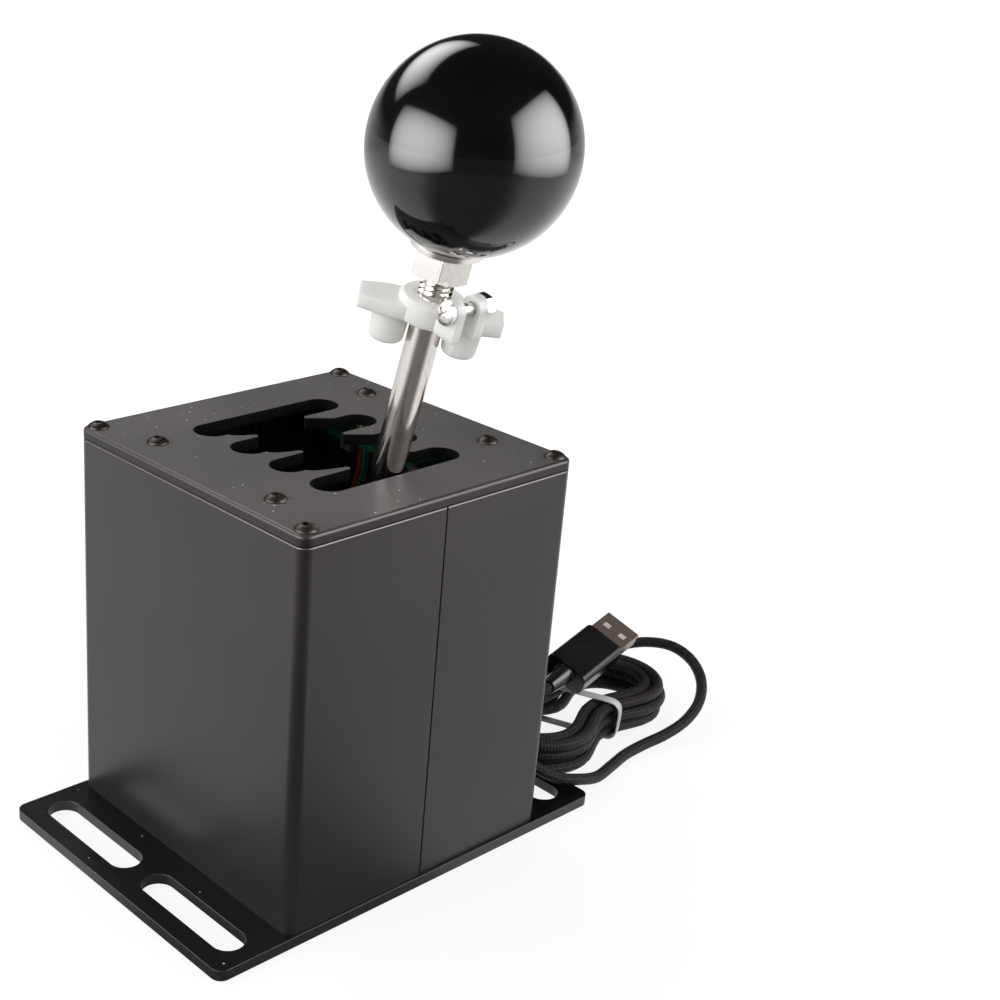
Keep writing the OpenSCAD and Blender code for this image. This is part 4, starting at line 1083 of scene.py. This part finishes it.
class SHIFTER_OT_lead(bpy.types.Operator):
    """The braided lead with its hank and loose loop, its tie and its strain relief"""

    bl_idname = "shifter.lead"
    bl_label = "Lead"

    def execute(self, context):
        path = lead_path()
        lead, length = tube("usb_lead", path, CORD_R, sizes().cord_sides, "braided_black",
                            first=Vector((0, 1, 0)), last=plug_heading())
        place(lead, "base", "braid", "usb_cord", "cord_hank", "cord_tail")
        dressed_copy("strain_relief", "base", "black_plastic", ["black_moulding"], 0.2 * MM,
                     name="strain_relief_sleeve")
        tie = self.tie()
        return {"FINISHED"}

    def tie(self):
        """Flat tape drawn round the hank, close to the turns that it holds; its end lies over its start."""
        across = Vector((math.cos(TIE_YAW), math.sin(TIE_YAW), 0.0))
        along = Vector((-math.sin(TIE_YAW), math.cos(TIE_YAW), 0.0))
        total = HANK_LAYERS * LOOPS_PER_LAYER + RUN_SHARE
        reach, dots, steps = CORD_R + TIE_GAP, [], 1200
        for k in range(steps + 1):
            here = hank_point(total * k / steps) - HANK_AT
            if abs(here.dot(along)) < TIE_W / 2 + 0.4 * MM:
                dots += arc(here.dot(across), here.z, reach, 0, 337.5, 15)
        loop = even_points(hull(dots), 96)
        for _ in range(3):
            loop = [(loop[i - 1] + 2 * here + loop[(i + 1) % len(loop)]) / 4 for i, here in enumerate(loop)]
        tie = band("tape_tie", loop, across, along, TIE_W, TIE_T, "grey_tie")
        smooth(tie, 40)
        place(tie, "base", "tie", "cord_tie")
        return tie


class SHIFTER_OT_plug(bpy.types.Operator):
    """The plug: glossy overmould with a tapered neck, and the metal shell with its two windows"""

    bl_idname = "shifter.plug"
    bl_label = "Plug"

    def execute(self, context):
        dressed_copy("plug_body", "base", "plug", ["gloss_overmould"], 0.8 * MM, 4, name="plug_overmould")
        shell = dressed_copy("plug_shell", "base", "plug_metal", ["plug_nickel", "pale_tongue_painted_glow"], 0.12 * MM, 2,
                             name="plug_metal_shell", edge_slot=0)
        into = plug_matrix().inverted()
        # Painted light: the shell's upward faces below the tongue's top, seen through its windows, take the
        # glowing pale finish
        for face in shell.data.polygons:
            at, facing = into @ face.center, into.to_3x3() @ face.normal
            if facing.z > 0.9 and at.z < TONGUE_TOP:
                face.material_index = 1
        return {"FINISHED"}


class SHIFTER_OT_housing(bpy.types.Operator):
    """Base plate, the two shells and the gate plate, with softened edges"""

    bl_idname = "shifter.housing"
    bl_label = "Housing"

    def execute(self, context):
        for half in ("rear_shell", "front_shell"):
            # Painted highlight: the shells' top rounding takes the lighter edge finish
            dressed_copy(half, "base", "shell", ["shell_black", "shell_edge"], sizes().shell_edge,
                         rims=[(SHELL_TOP, SHELL_RIM, 1, "shell_edge")], edge_slot=0)
        # Painted highlight: the base plate's roundings take the lighter edge finish
        foot = dressed_copy("base_plate", "base", "black_plate", ["base_black_painted_shade", "base_edge_worn_painted_highlight", "base_side"],
                            0.35 * MM)
        plate = dressed_copy(
            "gate_plate", "base", "black_plate", ["gate_black", "gate_edge_worn_painted_shade", "slot_walls_painted_shade", "gate_side_painted_shade"],
            0.15 * MM, 2, edge_slot=0,
            # Painted shade: the top rounding takes the darker edge finish
            rims=[(PLATE_TOP, sizes().plate_edge, 1, "gate_edge_worn_painted_shade"),
                  # Painted shade: the lower rounding takes the near-black finish, a dark line for the gap
                  # over the shells
                  (SHELL_TOP, PLATE_UNDER_RIM, -1, "slot_walls_painted_shade")],
        )
        upright, steep = 0.05, 0.5
        for face in foot.data.polygons:
            # Painted light: the base plate's upright faces take the lighter copy of its finish
            if abs(face.normal.z) < upright:
                face.material_index = 2
        for face in plate.data.polygons:
            # Painted shade: the walls of the slots take the near-black finish
            if abs(face.normal.z) < steep and rim_distance(face.center.x, face.center.y) < -SLOT_INSET:
                face.material_index = 2
            # Painted shade: the plate's outer sides take the darker copy of its finish
            elif abs(face.normal.z) < upright:
                face.material_index = 3
        return {"FINISHED"}


class SHIFTER_OT_fixings(bpy.types.Operator):
    """Screws of the housing and the brackets, and the boards' spacers"""

    bl_idname = "shifter.fixings"
    bl_label = "Fixings"

    def execute(self, context):
        dress(FIXINGS)
        return {"FINISHED"}


class SHIFTER_OT_gimbal(bpy.types.Operator):
    """Brackets, bushes, cradle, pin, clips and washers under the lever"""

    bl_idname = "shifter.gimbal"
    bl_label = "Gimbal"

    def execute(self, context):
        dress(GIMBAL)
        return {"FINISHED"}


class SHIFTER_OT_lever(bpy.types.Operator):
    """The polished rod with its thread, the magnet collar, and the nut and washer under the knob"""

    bl_idname = "shifter.lever"
    bl_label = "Lever"

    def execute(self, context):
        self.rod()
        self.washer()
        dress(LEVER_FITTINGS)
        return {"FINISHED"}

    def rod(self):
        """A plain polished rod with a real helical thread on its upper end."""
        r, pitch = 4 * MM, sizes().thread_pitch
        root = r - 0.62 * pitch
        smooth_rod = turned(
            "rod_shank",
            [(0, ROD_FROM), (r - 0.4 * MM, ROD_FROM), (r, ROD_FROM + 0.4 * MM), (r, THREAD_FROM - 0.6 * MM),
             (root, THREAD_FROM), (root, ROD_TO), (0, ROD_TO)],
            64,
        )
        thread = profile("rod_thread", [
            (root - 0.05 * MM, 0.0), (root, 0.06 * pitch), (r - 0.03 * MM, 0.44 * pitch),
            (r - 0.03 * MM, 0.56 * pitch), (root, 0.94 * pitch), (root - 0.05 * MM, pitch),
        ])
        turns = int((ROD_TO - THREAD_FROM - 1.0 * MM) / pitch) - 1
        thread.data.transform(Matrix.Translation((0, 0, THREAD_FROM - 0.4 * MM)))
        wind = thread.modifiers.new("winding", "SCREW")
        wind.axis = "Z"
        wind.screw_offset = pitch
        wind.iterations = turns
        wind.steps = wind.render_steps = 40
        wind.use_merge_vertices = True
        wind.merge_threshold = 1e-6
        apply_all(thread)
        mend(thread)
        rod = join([smooth_rod, thread], "polished_rod")
        rod.data.transform(LEVER_MATRIX)
        rod.data.materials.append(FINISHES["stainless_rod"])
        smooth(rod, 40)
        place(rod, "lever", "rod", "lever_rod")

    def washer(self):
        """A stamped washer: one rounded edge, one slightly burred edge."""
        low, high, outer, inner = KNOB_BASE - 1.6 * MM, KNOB_BASE, 8.75 * MM, 4.2 * MM
        washer = turned(
            "stamped_washer",
            [(inner, low + 0.15 * MM), (inner + 0.15 * MM, low), (outer - 0.35 * MM, low),
             *arc(outer - 0.35 * MM, low + 0.35 * MM, 0.35 * MM, -90, 0, 4)[1:],
             (outer, high - 0.12 * MM), (outer - 0.12 * MM, high), (inner, high), (inner, low + 0.15 * MM)],
            72, LEVER_MATRIX,
        )
        washer.data.materials.append(FINISHES["bright_nickel"])
        smooth(washer)
        place(washer, "lever", "nickel", "knob_washer")


class SHIFTER_OT_clamp(bpy.types.Operator):
    """Milky nylon clamp with rounded moulded edges, its pinch screw and nut"""

    bl_idname = "shifter.clamp"
    bl_label = "Clamp"

    def execute(self, context):
        dressed_copy("lever_clamp", "lever", "nylon", ["milky_nylon"], 0.5 * MM, 4, 25)
        dress(CLAMP_FITTINGS)
        return {"FINISHED"}


class SHIFTER_OT_knob(bpy.types.Operator):
    """Gloss ball knob with a flat underside round its insert"""

    bl_idname = "shifter.knob"
    bl_label = "Knob"

    def execute(self, context):
        r, flat, bore, depth = 24 * MM, 22.4 * MM, 6.05 * MM, 19 * MM
        rim = math.degrees(math.asin(flat / r))
        ball = arc(0, KNOB_MID, r, -rim + 1.2, 90, 72)
        knob = turned(
            "ball_knob",
            [(0, KNOB_BASE + depth), (bore, KNOB_BASE + depth), (bore, KNOB_BASE + 0.3 * MM),
             (bore + 0.3 * MM, KNOB_BASE), (ball[0][0] - 0.25 * MM, KNOB_BASE), *ball[:-1],
             (0, KNOB_MID + r)],
            128, LEVER_MATRIX,
        )
        knob.data.materials.append(FINISHES["gloss_black_knob"])
        smooth(knob, 40)
        place(knob, "lever", "knob", "knob")
        return {"FINISHED"}


class SHIFTER_OT_electronics(bpy.types.Operator):
    """Sensor boards, controller, sensors and their wires"""

    bl_idname = "shifter.electronics"
    bl_label = "Electronics"

    def execute(self, context):
        dress(ELECTRONICS)
        for name in ("rear_harness", "front_harness"):
            self.wires(name)
        lead = cad_copy("inner_lead", "inner_lead_jacket")
        lead.data.materials.append(FINISHES["black_wire"])
        smooth(lead, 60)
        place(lead, "base", "inner_lead", "inner_lead")
        return {"FINISHED"}

    def wires(self, name):
        """Three wires of one harness, coloured by their place across it."""
        piece = cad_copy(name, name + "_wires")
        inks = ("red_wire", "green_wire", "black_wire")
        for ink in inks:
            piece.data.materials.append(FINISHES[ink])
        shape = bmesh.new()
        shape.from_mesh(piece.data)
        shape.faces.ensure_lookup_table()
        left = set(shape.faces)
        islands = []
        while left:
            todo, island = [left.pop()], []
            while todo:
                face = todo.pop()
                island.append(face)
                for edge in face.edges:
                    for other in edge.link_faces:
                        if other in left:
                            left.discard(other)
                            todo.append(other)
            islands.append(island)
        islands.sort(key=lambda faces: min(v.co.x for f in faces for v in f.verts))
        for index, island in enumerate(islands):
            for face in island:
                face.material_index = index % len(inks)
        shape.to_mesh(piece.data)
        shape.free()
        smooth(piece, 70)
        place(piece, "base", "wire", name)


class SHIFTER_PT_panel(bpy.types.Panel):
    """Lists the pieces in the sidebar"""

    bl_label = "Gear Shifter"
    bl_idname = "SHIFTER_PT_panel"
    bl_space_type = "VIEW_3D"
    bl_region_type = "UI"
    bl_category = "Shifter"

    def draw(self, context):
        for group in (context.scene.shifter_colours, context.scene.shifter_sizes):
            for name in group.bl_rna.properties.keys():
                if name not in ("rna_type", "name"):
                    self.layout.prop(group, name)
        for operator in OPERATORS:
            self.layout.operator(operator.bl_idname)


OPERATORS = (
    SHIFTER_OT_finishes,
    SHIFTER_OT_stage,
    SHIFTER_OT_plug,
    SHIFTER_OT_lead,
    SHIFTER_OT_housing,
    SHIFTER_OT_fixings,
    SHIFTER_OT_gimbal,
    SHIFTER_OT_lever,
    SHIFTER_OT_clamp,
    SHIFTER_OT_knob,
    SHIFTER_OT_electronics,
)
CLASSES = (ShifterColours, ShifterSizes, *OPERATORS, SHIFTER_PT_panel)


def register():
    for cls in CLASSES:
        bpy.utils.register_class(cls)
    bpy.types.Scene.shifter_colours = PointerProperty(type=ShifterColours)
    bpy.types.Scene.shifter_sizes = PointerProperty(type=ShifterSizes)


def unregister():
    del bpy.types.Scene.shifter_sizes
    del bpy.types.Scene.shifter_colours
    for cls in reversed(CLASSES):
        bpy.utils.unregister_class(cls)


def main():
    register()
    for operator in OPERATORS:
        group, name = operator.bl_idname.split(".")
        getattr(getattr(bpy.ops, group), name)()
    deselect()


if __name__ == "__main__":
    main()
